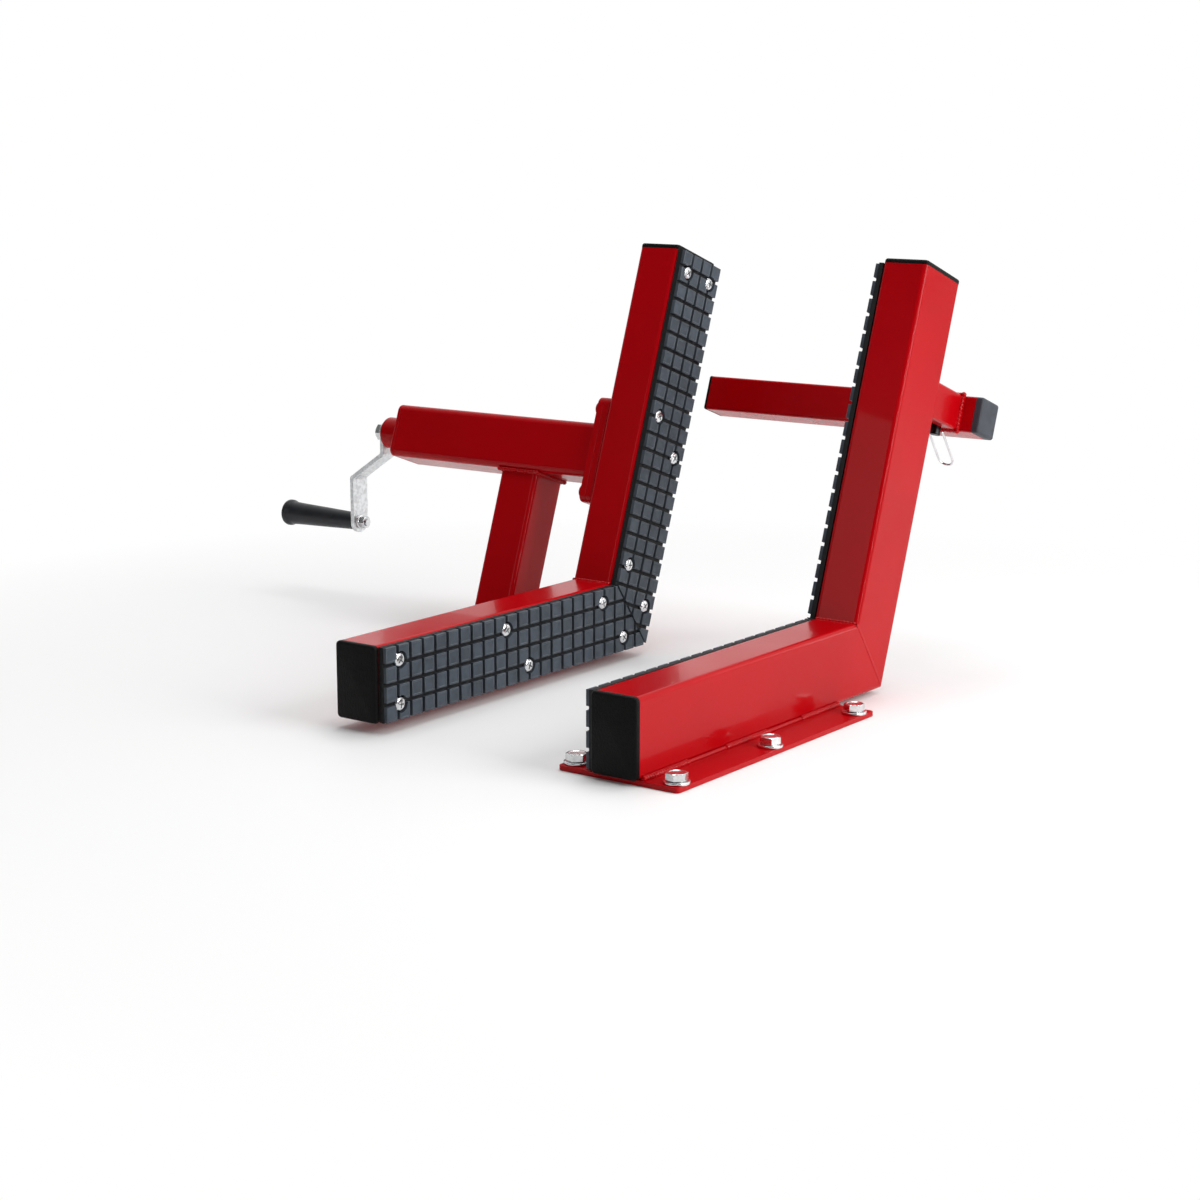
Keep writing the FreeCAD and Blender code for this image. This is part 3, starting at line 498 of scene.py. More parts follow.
def skin_group():
    """Fine unevenness of a sprayed, moulded or plated skin, as a normal."""
    inputs = [
        ("Place", "NodeSocketVector", None),
        ("Scale", "NodeSocketFloat", 400.0),
        ("Depth", "NodeSocketFloat", 0.00005),
    ]
    group, start, end = new_group("Skin", inputs, [("Normal", "NodeSocketVector")])
    noise = noise_in(group, start.outputs["Place"], start.outputs["Scale"], 1.0)
    bump = group.nodes.new("ShaderNodeBump")
    group.links.new(noise, bump.inputs["Height"])
    group.links.new(start.outputs["Depth"], bump.inputs["Distance"])
    group.links.new(bump.outputs["Normal"], end.inputs["Normal"])
    return group


def pebble_group():
    """Rounded pebbles of a moulded plastic grain, as a normal and a mask of the pebble tops."""
    inputs = [
        ("Place", "NodeSocketVector", None),
        ("Scale", "NodeSocketFloat", 900.0),
        ("Depth", "NodeSocketFloat", 0.0002),
    ]
    outputs = [("Normal", "NodeSocketVector"), ("Tops", "NodeSocketFloat")]
    group, start, end = new_group("Pebble", inputs, outputs)
    cells = group.nodes.new("ShaderNodeTexVoronoi")
    cells.feature = "SMOOTH_F1"
    group.links.new(start.outputs["Place"], cells.inputs["Vector"])
    group.links.new(start.outputs["Scale"], cells.inputs["Scale"])
    tops = map_in(group, cells.outputs["Distance"], 0.1, 0.7, 1.0, 0.0)
    bump = group.nodes.new("ShaderNodeBump")
    group.links.new(tops, bump.inputs["Height"])
    group.links.new(start.outputs["Depth"], bump.inputs["Distance"])
    group.links.new(bump.outputs["Normal"], end.inputs["Normal"])
    group.links.new(tops, end.inputs["Tops"])
    return group


def brushed_group():
    """Fine lines left by rolling or brushing along Z, as a value and a normal."""
    inputs = [
        ("Place", "NodeSocketVector", None),
        ("Scale", "NodeSocketFloat", 600.0),
        ("Depth", "NodeSocketFloat", 0.00002),
    ]
    outputs = [("Value", "NodeSocketFloat"), ("Normal", "NodeSocketVector")]
    group, start, end = new_group("Brushed", inputs, outputs)
    stretch = group.nodes.new("ShaderNodeMapping")
    stretch.inputs["Scale"].default_value = (1.0, 1.0, 0.04)
    group.links.new(start.outputs["Place"], stretch.inputs["Vector"])
    lines = noise_in(group, stretch.outputs["Vector"], start.outputs["Scale"], 2.0)
    bump = group.nodes.new("ShaderNodeBump")
    group.links.new(lines, bump.inputs["Height"])
    group.links.new(start.outputs["Depth"], bump.inputs["Distance"])
    group.links.new(lines, end.inputs["Value"])
    group.links.new(bump.outputs["Normal"], end.inputs["Normal"])
    return group


GROUP_MAKERS = {"Mottle": mottle_group, "Skin": skin_group, "Pebble": pebble_group, "Brushed": brushed_group}


def use_group(material, name, **values):
    """Place a shared group in a material, reading the piece's own coordinates."""
    tree = material.node_tree
    node = tree.nodes.new("ShaderNodeGroup")
    node.node_tree = bpy.data.node_groups.get(name) or GROUP_MAKERS[name]()
    place = tree.nodes.get("Place") or tree.nodes.new("ShaderNodeTexCoord")
    place.name = "Place"
    tree.links.new(place.outputs["Object"], node.inputs["Place"])
    for label, value in values.items():
        node.inputs[label].default_value = value
    return node


def mix_colours(material, factor, first, second):
    tree = material.node_tree
    node = tree.nodes.new("ShaderNodeMix")
    node.data_type = "RGBA"
    tree.links.new(factor, node.inputs[0])
    node.inputs[6].default_value = (*first, 1)
    node.inputs[7].default_value = (*second, 1)
    return node.outputs[2]


# Finishes


def new_finish(name, **constants):
    """A material whose Principled sockets are set to plain values."""
    material = bpy.data.materials.new(name)
    material.use_nodes = True
    shader = material.node_tree.nodes["Principled BSDF"]
    for label, value in constants.items():
        shader.inputs[label.replace("_", " ").title().replace("Ior", "IOR")].default_value = value
    return material, shader


def shaded(colour, amount):
    return tuple(channel * amount for channel in colour)


def connect(material, output, shader, label):
    material.node_tree.links.new(output, shader.inputs[label])


def mottled(name, colours, patches, gloss, relief=None, kind="Skin", **constants):
    """A finish whose colour and roughness wander over the surface, with a fine relief if asked."""
    material = bpy.data.materials.get(name)
    if material:
        return material
    material, shader = new_finish(name, **constants)
    wander = use_group(material, "Mottle", **patches)
    colour = mix_colours(material, wander.outputs["Value"], *colours)
    connect(material, colour, shader, "Base Color")
    roughness = use_group(material, "Mottle", **gloss)
    connect(material, roughness.outputs["Value"], shader, "Roughness")
    if relief:
        bumps = use_group(material, kind, **relief)
        connect(material, bumps.outputs["Normal"], shader, "Normal")
    return material


def red_paint():
    return mottled(
        "red_powder_coat",
        (finishes().red, finishes().red_deep),
        patches={"Scale": 9.0, "Low": 0.0, "High": 0.6},
        gloss={"Scale": 12.0, "Low": 0.19, "High": 0.26},
        relief={"Scale": 420.0, "Depth": 0.000012},
        specular_ior_level=0.07,
        coat_weight=0.18,
        coat_roughness=0.03,
    )


def block_rubber():
    return mottled(
        "tread_block_rubber",
        (shaded(finishes().block, 0.72), finishes().block),
        patches={"Scale": 55.0, "Low": 0.0, "High": 1.0},
        gloss={"Scale": 130.0, "Low": 0.5, "High": 0.68},
        relief={"Scale": 1400.0, "Depth": 0.00008},
        specular_ior_level=0.35,
    )


# Painted highlight: a pale rubber on the blocks' rims, in place of the light they catch.
def rim_highlight_rubber():
    return mottled(
        "tread_rim_highlight",
        (shaded(finishes().block_rim_highlight, 0.45), finishes().block_rim_highlight),
        patches={"Scale": 70.0, "Low": 0.0, "High": 1.0},
        gloss={"Scale": 130.0, "Low": 0.4, "High": 0.55},
        specular_ior_level=0.4,
    )


def groove_rubber():
    return mottled(
        "tread_base_rubber",
        (finishes().rubber, shaded(finishes().rubber, 1.8)),
        patches={"Scale": 90.0, "Low": 0.0, "High": 0.7},
        gloss={"Scale": 200.0, "Low": 0.55, "High": 0.75},
        relief={"Scale": 1100.0, "Depth": 0.00006},
        specular_ior_level=0.3,
    )


def pebbled_plastic():
    material = bpy.data.materials.get("pebbled_cap_plastic")
    if material:
        return material
    material, shader = new_finish("pebbled_cap_plastic", specular_ior_level=0.1)
    grain = use_group(material, "Pebble", Scale=850.0, Depth=0.00025)
    # Painted shade: the pits between the pebbles are darker than the pebble tops.
    pit_shade = shaded(finishes().plastic, 0.6)
    colour = mix_colours(material, grain.outputs["Tops"], pit_shade, finishes().plastic)
    connect(material, colour, shader, "Base Color")
    gloss = use_group(material, "Mottle", Scale=60.0, Low=0.42, High=0.52)
    connect(material, gloss.outputs["Value"], shader, "Roughness")
    connect(material, grain.outputs["Normal"], shader, "Normal")
    return material


def soft_cap_rubber():
    return mottled(
        "soft_cap_rubber",
        (shaded(finishes().soft_cap, 0.8), finishes().soft_cap),
        patches={"Scale": 45.0, "Low": 0.0, "High": 1.0},
        gloss={"Scale": 80.0, "Low": 0.48, "High": 0.6},
        relief={"Scale": 1300.0, "Depth": 0.0001},
        kind="Pebble",
        specular_ior_level=0.4,
    )


def grip_plastic():
    return mottled(
        "satin_grip_plastic",
        (finishes().grip, shaded(finishes().grip, 1.5)),
        patches={"Scale": 30.0, "Low": 0.0, "High": 1.0},
        gloss={"Scale": 70.0, "Low": 0.33, "High": 0.46},
        relief={"Scale": 900.0, "Depth": 0.00004},
        specular_ior_level=0.35,
    )


def bright_zinc():
    return mottled(
        "bright_zinc_plate",
        (shaded(finishes().zinc, 0.82), finishes().zinc),
        patches={"Scale": 160.0, "Low": 0.0, "High": 1.0},
        gloss={"Scale": 240.0, "Low": 0.15, "High": 0.26},
        relief={"Scale": 700.0, "Depth": 0.00005},
        metallic=1.0,
    )


def rolled_zinc():
    material = bpy.data.materials.get("rolled_zinc_bar")
    if material:
        return material
    material, shader = new_finish("rolled_zinc_bar", metallic=1.0)
    lines = use_group(material, "Brushed", Scale=700.0, Depth=0.00002)
    spangle = use_group(material, "Mottle", Scale=260.0, Low=0.0, High=0.9)
    colour = mix_colours(
        material, spangle.outputs["Value"], finishes().dull_zinc, shaded(finishes().dull_zinc, 0.72)
    )
    connect(material, colour, shader, "Base Color")
    gloss = map_in(material.node_tree, lines.outputs["Value"], 0.3, 0.7, 0.29, 0.42)
    connect(material, gloss, shader, "Roughness")
    connect(material, lines.outputs["Normal"], shader, "Normal")
    return material


def polished_wire():
    return mottled(
        "polished_wire",
        ((0.80, 0.80, 0.81), (0.68, 0.69, 0.71)),
        patches={"Scale": 120.0, "Low": 0.0, "High": 1.0},
        gloss={"Scale": 300.0, "Low": 0.1, "High": 0.2},
        metallic=1.0,
    )


def black_oxide():
    return mottled(
        "black_oxide_steel",
        ((0.022, 0.022, 0.024), (0.05, 0.05, 0.054)),
        patches={"Scale": 220.0, "Low": 0.0, "High": 1.0},
        gloss={"Scale": 260.0, "Low": 0.3, "High": 0.45},
        metallic=1.0,
    )


def turned_steel():
    return mottled(
        "turned_screw_steel",
        ((0.46, 0.46, 0.47), (0.34, 0.33, 0.32)),
        patches={"Scale": 50.0, "Low": 0.0, "High": 1.0},
        gloss={"Scale": 110.0, "Low": 0.29, "High": 0.4},
        relief={"Scale": 1500.0, "Depth": 0.00003},
        metallic=1.0,
    )


def dress_node(node, material):
    """Keep a node's shape and give it a finish."""
    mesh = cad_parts[node].data
    mesh.materials.clear()
    mesh.materials.append(material)


# Painted steel

FRAME_STEEL = {
    "fixed_arm_tube": "fixed_lower_arm",
    "fixed_upright_tube": "fixed_upright",
    "base_plate": "fixed_base_plate",
    "post": "post_tube",
    "post_foot": "post_base_plate",
    "housing": "housing_tube",
    "housing_end": "housing_end_plate",
    "screw_boss": "bearing_boss",
}
JAW_STEEL = {
    "moving_arm_tube": "moving_lower_arm",
    "moving_upright_tube": "moving_upright",
    "slide": "slide_tube",
    "slide_plate": "slide_flange",
    "upright_plate": "jaw_plate",
}
STOP_STEEL = {"stop_runner": "stop_slider", "stop_bar": "stop_crossbar"}


def painted_steel():
    """Painted tubes and plates. A jaw tube's corners are round already, and its cut ends are covered."""
    edge = sizes().steel_edge
    for body, pieces in (("frame", FRAME_STEEL), ("moving_jaw", JAW_STEEL), ("wheel_stop", STOP_STEEL)):
        for name, node in pieces.items():
            piece = copy_of_node(node, name)
            if node.endswith(("_lower_arm", "_upright")):
                polish(piece)
            else:
                ease(piece, edge)
            finish(piece, body, red_paint(), [node])
    dress_node("stop_tongue", red_paint())


# Tread pads


def tread_block(name):
    """One rubber block, rooted in the pad's base, its top towards +X with a sunk face."""
    wide = sizes().across_pitch - sizes().groove
    long = sizes().along_pitch - sizes().groove
    root = TUBE_WIDTH / 2 + PAD_BASE - 0.5 * MM
    top = TUBE_WIDTH / 2 + PAD_THICK
    block = box(name, (root, -wide / 2, -long / 2), (top, wide / 2, long / 2))
    edit(block, "FACE", faces_towards((1, 0, 0)))
    bpy.ops.mesh.inset(thickness=sizes().rim)
    bpy.ops.mesh.inset(thickness=0.4 * MM)
    bpy.ops.transform.translate(value=(-sizes().dish, 0, 0))
    close_edit()
    edit(block, "EDGE", lambda edge: on_block_outline(edge, root, wide, long))
    bpy.ops.mesh.bevel(offset=0.45 * MM, segments=2, affect="EDGES")
    close_edit()
    block.data.materials.append(block_rubber())
    block.data.materials.append(rim_highlight_rubber())
    # The rims round the top get the pale rubber, a painted highlight.
    edit(block, "FACE", lambda face: on_highlit_rim(face, top))
    block.active_material_index = 1
    bpy.ops.object.material_slot_assign()
    close_edit()
    return block


def on_highlit_rim(face, top):
    """The sloping faces beside the block's top, where its edges and the sunk face's sides are. They get the
    pale painted highlight.
    """
    sloping = 0.05 < face.normal.x < 0.95
    return sloping and face.calc_center_median().x > top - 0.6 * MM


def on_block_outline(edge, root, wide, long):
    """The block's four upright edges and the four round its top."""
    ends = [point.co for point in edge.verts]
    near = MM / 100
    outer = all(abs(abs(end.y) - wide / 2) < near or abs(abs(end.z) - long / 2) < near for end in ends)
    at_root = all(abs(end.x - root) < near for end in ends)
    return outer and not at_root


def block_field(name, side, length):
    """Rows of blocks over a pad, from its free end past the mitre."""
    block = tread_block(name)
    pitch = sizes().across_pitch
    rows = sizes().rows
    first_y = side * TUBE_DEPTH / 2 - pitch * (rows - 1) / 2
    block_long = sizes().along_pitch - sizes().groove
    first_z = length - PAD_INSET - block_long / 2
    settle(block, Matrix.Translation((0, first_y, first_z)))
    repeat(block, rows, (0, pitch, 0))
    count = math.ceil((length + MITRE) / sizes().along_pitch) + 1
    repeat(block, count, (0, 0, -sizes().along_pitch))
    return block


def cut_at_mitre(piece, side, gap):
    """Cut away what lies past the elbow's mitre, less a gap."""
    normal = Vector((0, -side * MITRE, -TUBE_DEPTH)).normalized()
    cut_off(piece, -normal * gap, normal)


def sink_wells(piece, places):
    tools = []
    for y, z in places:
        tool = rod("well", sizes().well, TUBE_WIDTH / 2, TUBE_WIDTH / 2 + 2 * PAD_THICK, 28)
        turn = Matrix.Translation((0, y, z)) @ face_way(1)
        tools.append(settle(tool, turn))
    combine(piece, join(tools, "wells"), "DIFFERENCE")


def pad_base(jaw, tube, name):
    """The pad below its tread: a copy of its node, cut off at the blocks' feet."""
    base = copy_of_node(f"{jaw}_{tube}_pad", name)
    way = PAD_SIDE[jaw]
    low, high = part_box(f"{jaw}_{tube}_pad")
    seat = low.x if way > 0 else high.x
    level = seat + way * (PAD_BASE - 0.05 * MM)
    cut_off(base, (level, 0, 0), (way, 0, 0))
    axes = tube_axes(jaw, tube == "upright")
    end = TUBE_LENGTH[tube] - PAD_INSET
    to_tube = axes.inverted()
    edit(base, "VERT", lambda point: (to_tube @ point.co).z > end - MM / 10)
    bpy.ops.transform.translate(value=axes.to_3x3() @ Vector((0, 0, PAD_INSET - MM / 10)))
    close_edit()
    return base


def tread_pad(jaw, tube):
    upright = tube == "upright"
    length = TUBE_LENGTH[tube]
    way = PAD_SIDE[jaw]
    side = (1 if upright else -1) * way
    blocks = block_field(f"{jaw}_{tube}_blocks", side, length)
    cut_at_mitre(blocks, side, 1.1 * MM)
    sink_wells(blocks, screw_places(side, length))
    turn = Matrix.Rotation(0 if way > 0 else math.pi, 4, "Z")
    settle(blocks, tube_axes(jaw, upright) @ turn)
    base = pad_base(jaw, tube, f"{jaw}_{tube}_base")
    base.data.materials.clear()
    base.data.materials.append(groove_rubber())
    piece = join([blocks, base], f"{jaw}_{tube}_tread")
    smooth(piece, 25)
    finish(piece, JAW_BODY[jaw], None, [f"{jaw}_{tube}_pad"])


# Screws, bolts and nuts


def pan_screw(name):
    """Pan-head screw with a cross recess, its seat at z 0 and its head above."""
    outline = [
        (0, -9 * MM),
        (2.2 * MM, -9 * MM),
        (3 * MM, -7 * MM),
        (3 * MM, 0),
        (7 * MM, 0),
        (7.2 * MM, 0.3 * MM),
        (7 * MM, 1.5 * MM),
        (6.2 * MM, 2.7 * MM),
        (4.6 * MM, 3.35 * MM),
        (2.4 * MM, 3.6 * MM),
        (0, 3.6 * MM),
    ]
    screw = lathe(name, outline, 24)
    slots = []
    for degrees in (45, 135):
        slot = box("slot", (-3.9 * MM, -0.8 * MM, 1.2 * MM), (3.9 * MM, 0.8 * MM, 5 * MM))
        slots.append(settle(slot, Matrix.Rotation(math.radians(degrees), 4, "Z")))
    combine(slots[0], slots[1], "UNION")
    combine(screw, slots[0], "DIFFERENCE")
    smooth(screw, 40)
    return screw


def pad_screws(jaw, tube):
    upright = tube == "upright"
    length = TUBE_LENGTH[tube]
    way = PAD_SIDE[jaw]
    screws = []
    master = pan_screw("pan_screw")
    seat = way * (TUBE_WIDTH / 2 + PAD_BASE)
    for number, (y, z) in enumerate(screw_places(1 if upright else -1, length)):
        screw = copy_of(master, f"screw_{number}")
        turn = Matrix.Rotation(math.radians(37 * number), 4, "Z")
        place = tube_axes(jaw, upright) @ Matrix.Translation((seat, y, z)) @ face_way(way) @ turn
        screws.append(settle(screw, place))
    bpy.data.objects.remove(master)
    piece = join(screws, f"{jaw}_{tube}_pan_screws")
    finish(piece, JAW_BODY[jaw], bright_zinc(), [f"{jaw}_{tube}_pad_screws"])


def hex_corner(flats):
    return flats / 2 / math.cos(math.pi / 6)


def hex_prism(name, flats, low, high):
    return rod(name, hex_corner(flats), low, high, 6)


def chamfer_outline(flats, low, high, bore, both_ends):
    """Outline that a hex is cut to, so that its corners are chamfered as on a real one."""
    edge = flats / 2 * 0.97
    corner = hex_corner(flats) + 0.2 * MM
    slope = (corner - edge) * math.tan(math.pi / 6)
    outline = [(bore, low), (corner, low)]
    if both_ends:
        outline = [(bore, low), (edge, low), (corner, low + slope)]
    return outline + [(corner, high - slope), (edge, high), (bore, high)]


def hex_piece(name, flats, low, high, bore=0.0, both_ends=False):
    outline = chamfer_outline(flats, low, high, bore, both_ends)
    piece = lathe(name, outline, 36)
    combine(piece, hex_prism("prism", flats, low - MM, high + MM), "INTERSECT")
    return piece


def thread(name, radius, low, high):
    """Helical ridge round the Z axis, standing out to radius."""
    pitch = sizes().thread_pitch
    tooth = pitch * 0.45
    turns = max(1, int((high - low) / pitch) - 1)
    clear_selection()
    bpy.ops.mesh.primitive_circle_add(vertices=3, radius=tooth, location=(radius - tooth, 0, low + tooth))
    ridge = bpy.context.object
    ridge.name = name
    bpy.ops.transform.rotate(
        value=-math.pi / 2, orient_axis="X", center_override=(radius - tooth, 0, low + tooth)
    )
    settle(ridge)
    edit_all(ridge)
    bpy.ops.transform.rotate(
        value=-math.pi / 2, orient_axis="Y", center_override=(radius - tooth, 0, low + tooth)
    )
    close_edit()
    apply_modifier(
        ridge,
        "SCREW",
        angle=2 * math.pi,
        screw_offset=pitch,
        iterations=turns,
        steps=20,
        render_steps=20,
        axis="Z",
    )
    edit_all(ridge)
    bpy.ops.mesh.normals_make_consistent(inside=False)
    bpy.ops.mesh.select_all(action="DESELECT")
    bpy.ops.mesh.select_mode(type="EDGE")
    bpy.ops.mesh.select_non_manifold()
    bpy.ops.mesh.fill_holes(sides=0)
    close_edit()
    return ridge


def deck_bolt(name):
    """Hex bolt with a washer face, its head's seat at z 0 and its thread below."""
    head = hex_piece("head", 18 * MM, 0.8 * MM, 7.5 * MM)
    face = [(0, 0), (8.6 * MM, 0), (8.8 * MM, 0.3 * MM), (8.8 * MM, 0.9 * MM), (0, 0.9 * MM)]
    dish = [(0, 6.9 * MM), (6.6 * MM, 6.9 * MM), (7.2 * MM, 7.6 * MM), (7.2 * MM, 9 * MM), (0, 9 * MM)]
    combine(head, lathe("dish", dish, 32), "DIFFERENCE")
    ease(head, sizes().nut_edge, 2, 30)
    collar = lathe("collar", face, 36)
    shank = [(0, -27.3 * MM), (4.4 * MM, -27.3 * MM), (5.2 * MM, -26 * MM), (5.2 * MM, -8 * MM)]
    shank += [(6 * MM, -7 * MM), (6 * MM, 0.4 * MM), (0, 0.4 * MM)]
    stem = lathe("stem", shank, 28)
    ridge = thread("ridge", 5.85 * MM, -26.5 * MM, -7.5 * MM)
    bolt = join([head, collar, stem, ridge], name)
    smooth(bolt, 32)
    return bolt


def washer(name, outer, inner, thick):
    soft = 0.3 * MM
    outline = [
        (inner, 0),
        (outer - soft, 0),
        (outer, soft),
        (outer, thick - soft),
        (outer - soft, thick),
        (inner + soft, thick),
        (inner, thick - soft),
    ]
    piece = lathe(name, outline, 36)
    smooth(piece, 50)
    return piece


def bolt_set(places, seat, thick, bolt_names, washer_name, washer_node, bolt_nodes):
    """Bolts and washers at (x, y) places on a plate. One joined bolt piece if one name is given."""
    bolts, washers = [], []
    master = deck_bolt("deck_bolt")
    ring = washer("deck_washer", 12 * MM, 6.3 * MM, thick)
    for number, (x, y) in enumerate(places):
        turn = Matrix.Rotation(math.radians(23 * number + 8), 4, "Z")
        bolts.append(settle(copy_of(master, f"bolt_{number}"), Matrix.Translation((x, y, seat)) @ turn))
        spot = Matrix.Translation((x, y, seat - thick))
        washers.append(settle(copy_of(ring, f"washer_{number}"), spot))
    bpy.data.objects.remove(master)
    bpy.data.objects.remove(ring)
    finish(join(washers, washer_name), "frame", bright_zinc(), [washer_node])
    if len(bolt_names) == 1:
        bolts = [join(bolts, bolt_names[0])]
    for bolt, name, node in zip(bolts, bolt_names, bolt_nodes):
        bolt.name = name
        finish(bolt, "frame", bright_zinc(), [node])


def deck_bolts():
    thick = 2.5 * MM
    nodes = [f"base_bolt_{number}" for number in range(1, 7)]
    places = [(node_middle(node).x, node_middle(node).y) for node in nodes]
    names = [f"deck_bolt_{number}" for number in range(1, 7)]
    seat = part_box("base_washers")[1].z
    bolt_set(places, seat, thick, names, "deck_washers", "base_washers", nodes)
    middle = node_middle("post_bolts")
    half = 50 * MM
    places = [(middle.x + a * half, middle.y + b * half) for a in (-1, 1) for b in (-1, 1)]
    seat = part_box("post_washers")[1].z
    bolt_set(places, seat, thick, ["foot_bolts"], "foot_washers", "post_washers", ["post_bolts"])


def flange_bolts():
    """Button-head bolts, painted over, with a hex recess."""
    outline = [
        (0, -23 * MM),
        (4.6 * MM, -23 * MM),
        (5 * MM, -22.4 * MM),
        (5 * MM, 0),
        (7.8 * MM, 0),
        (8 * MM, 0.6 * MM),
        (7.8 * MM, 2.2 * MM),
        (6.9 * MM, 3.9 * MM),
        (5.4 * MM, 5 * MM),
        (3.6 * MM, 5.5 * MM),
        (0, 5.5 * MM),
    ]
    master = lathe("button_bolt", outline, 32)
    combine(master, hex_prism("key", 6 * MM, 2.6 * MM, 8 * MM), "DIFFERENCE")
    smooth(master, 40)
    for number in range(1, 5):
        node = f"flange_bolt_{number}"
        low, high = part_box(node)
        seat = Vector((high.x - FLANGE_BOLT_REACH, (low.y + high.y) / 2, (low.z + high.z) / 2))
        bolt = copy_of(master, f"plate_bolt_{number}")
        settle(bolt, Matrix.Translation(seat) @ Matrix.Rotation(-math.pi / 2, 4, "Y"))
        finish(bolt, "moving_jaw", red_paint(), [node])
    bpy.data.objects.remove(master)


# Caps


def tube_cap(name, wide, deep, lip, corner, edge):
    """Plastic plug: a lip over the tube's end, with its seat at z 0, and a plug below."""
    cap = box(name, (-wide / 2, -deep / 2, 0), (wide / 2, deep / 2, lip))
    edit(cap, "EDGE", edges_along((0, 0, 1)))
    bpy.ops.mesh.bevel(offset=corner, segments=4, affect="EDGES")
    close_edit()
    edit(cap, "FACE", faces_towards((0, 0, 1)))
    bpy.ops.mesh.bevel(offset=edge, segments=3, affect="EDGES")
    close_edit()
    edit(cap, "FACE", faces_towards((0, 0, -1)))
    bpy.ops.mesh.inset(thickness=CAP_PLUG_INSET)
    bpy.ops.mesh.extrude_region_move(TRANSFORM_OT_translate={"value": (0, 0, -CAP_PLUG)})
    close_edit()
    smooth(cap, 40)
    return cap


def jaw_caps(jaw):
    material = pebbled_plastic()
    body = JAW_BODY[jaw]
    for tube, node, side, length in (
        ("arm", f"{jaw}_arm_cap", -1, ARM_LENGTH),
        ("top", f"{jaw}_top_cap", 1, UPRIGHT_LENGTH),
    ):
        cap = tube_cap(f"{jaw}_{tube}_end_cap", TUBE_WIDTH, TUBE_DEPTH, CAP_LIP, 4.4 * MM, 2.4 * MM)
        place = tube_axes(jaw, side > 0) @ Matrix.Translation((0, side * TUBE_DEPTH / 2, length))
        settle(cap, place)
        finish(cap, body, material, [node])


def stop_caps():
    centre = tube_axes("fixed", True) @ Matrix.Translation((0, STOP_FRONT + STOP_SIZE / 2, STOP_UP))
    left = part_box("stop_crossbar")[0].x
    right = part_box("stop_crossbar")[1].x
    thin = tube_cap("bar_left_cap", STOP_SIZE, STOP_SIZE, 3 * MM, 2.5 * MM, 1.2 * MM)
    settle(thin, centre @ Matrix.Translation((left, 0, 0)) @ face_way(-1))
    finish(thin, "wheel_stop", pebbled_plastic(), ["stop_left_cap"])
    thick = tube_cap("bar_right_cap", STOP_SIZE, STOP_SIZE, 8 * MM, 3 * MM, 2.6 * MM)
    settle(thick, centre @ Matrix.Translation((right, 0, 0)) @ face_way(1))
    finish(thick, "wheel_stop", soft_cap_rubber(), ["stop_right_cap"])


# Welds


def weld_run(name, start, end, up, width, height):
    """Overlapping ripples from start to end, half sunk in the steel, standing out along up."""
    along = Vector(end) - Vector(start)
    count = max(2, round(along.length / sizes().ripple))
    step = along / (count - 1)
    clear_selection()
    bpy.ops.mesh.primitive_uv_sphere_add(segments=10, ring_count=6, radius=1)
    bead = bpy.context.object
    bead.name = name
    bead.scale = (width / 2, sizes().ripple * 0.85, height)
    forward = along.normalized()
    outward = (Vector(up) - Vector(up).dot(forward) * forward).normalized()
    across = forward.cross(outward)
    turn = Matrix((across, forward, outward)).transposed().to_4x4()
    settle(bead)
    settle(bead, Matrix.Translation(start) @ turn)
    repeat(bead, count, step)
    edit_all(bead)
    bpy.ops.transform.vertex_random(offset=0.22 * MM, seed=len(name) + count)
    close_edit()
    smooth(bead, 60)
    return bead


def weld_ring(name, corners, up_ways, width, height):
    """A weld round a rectangle: one run for each side, each with its own outward way."""
    runs = []
    for number, (start, up) in enumerate(zip(corners, up_ways)):
        end = corners[(number + 1) % len(corners)]
        runs.append(weld_run(f"{name}_{number}", start, end, up, width, height))
    return join(runs, name)


def square_ring(half_x, half_y, z, lift):
    """Corners of a rectangle at height z, and the way each side's weld faces."""
    corners = [(-half_x, -half_y, z), (half_x, -half_y, z), (half_x, half_y, z), (-half_x, half_y, z)]
    ways = [(0, -1, lift), (1, 0, lift), (0, 1, lift), (-1, 0, lift)]
    return corners, ways


def base_weld():
    """A low bead along the arm, with a fuller stretch at each end and in the middle."""
    low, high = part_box("fixed_arm_weld")
    inset = 1.3 * MM
    x = low.x + inset
    z = low.z + inset
    near = low.y + 2 * MM
    long = high.y - 2 * MM - near
    stretches = [(0, 1, 4.4 * MM, 1.5 * MM)]
    stretches += [(start, start + 0.2, 7 * MM, 2.9 * MM) for start in (0, 0.4, 0.8)]
    runs = []
    for number, (start, end, width, height) in enumerate(stretches):
        from_place = (x, near + start * long, z)
        to_place = (x, near + end * long, z)
        runs.append(weld_run(f"base_bead_{number}", from_place, to_place, (1, 0, 1), width, height))
    finish(join(runs, "base_bead"), "frame", red_paint(), ["fixed_arm_weld"])


def post_welds():
    low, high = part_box("post_tube")
    x = (low.x + high.x) / 2
    axes = tube_axes("moving", True)
    axes = axes @ Matrix.Translation((x - axes.translation.x, 0, 0))
    half = POST_SIZE / 2 + 1.2 * MM
    corners, ways = square_ring(half, half, HOUSING_UP - HOUSING_SIZE / 2 - 1.2 * MM, -1)
    top = weld_ring("post_top_bead", corners, ways, 5.5 * MM, 2.2 * MM)
    settle(top, axes @ Matrix.Translation((0, TUBE_DEPTH / 2, 0)))
    finish(top, "frame", red_paint(), ["post_weld"])
    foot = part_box("post_base_plate")
    middle = (foot[0] + foot[1]) / 2
    deep = POST_SIZE / 2 / math.cos(LEAN) + 1.2 * MM
    corners, ways = square_ring(half, deep, foot[1].z + 1.2 * MM, 1)
    low_ring = weld_ring("post_foot_bead", corners, ways, 5.5 * MM, 2.2 * MM)
    settle(low_ring, Matrix.Translation((middle.x, middle.y, 0)))
    finish(low_ring, "frame", red_paint())


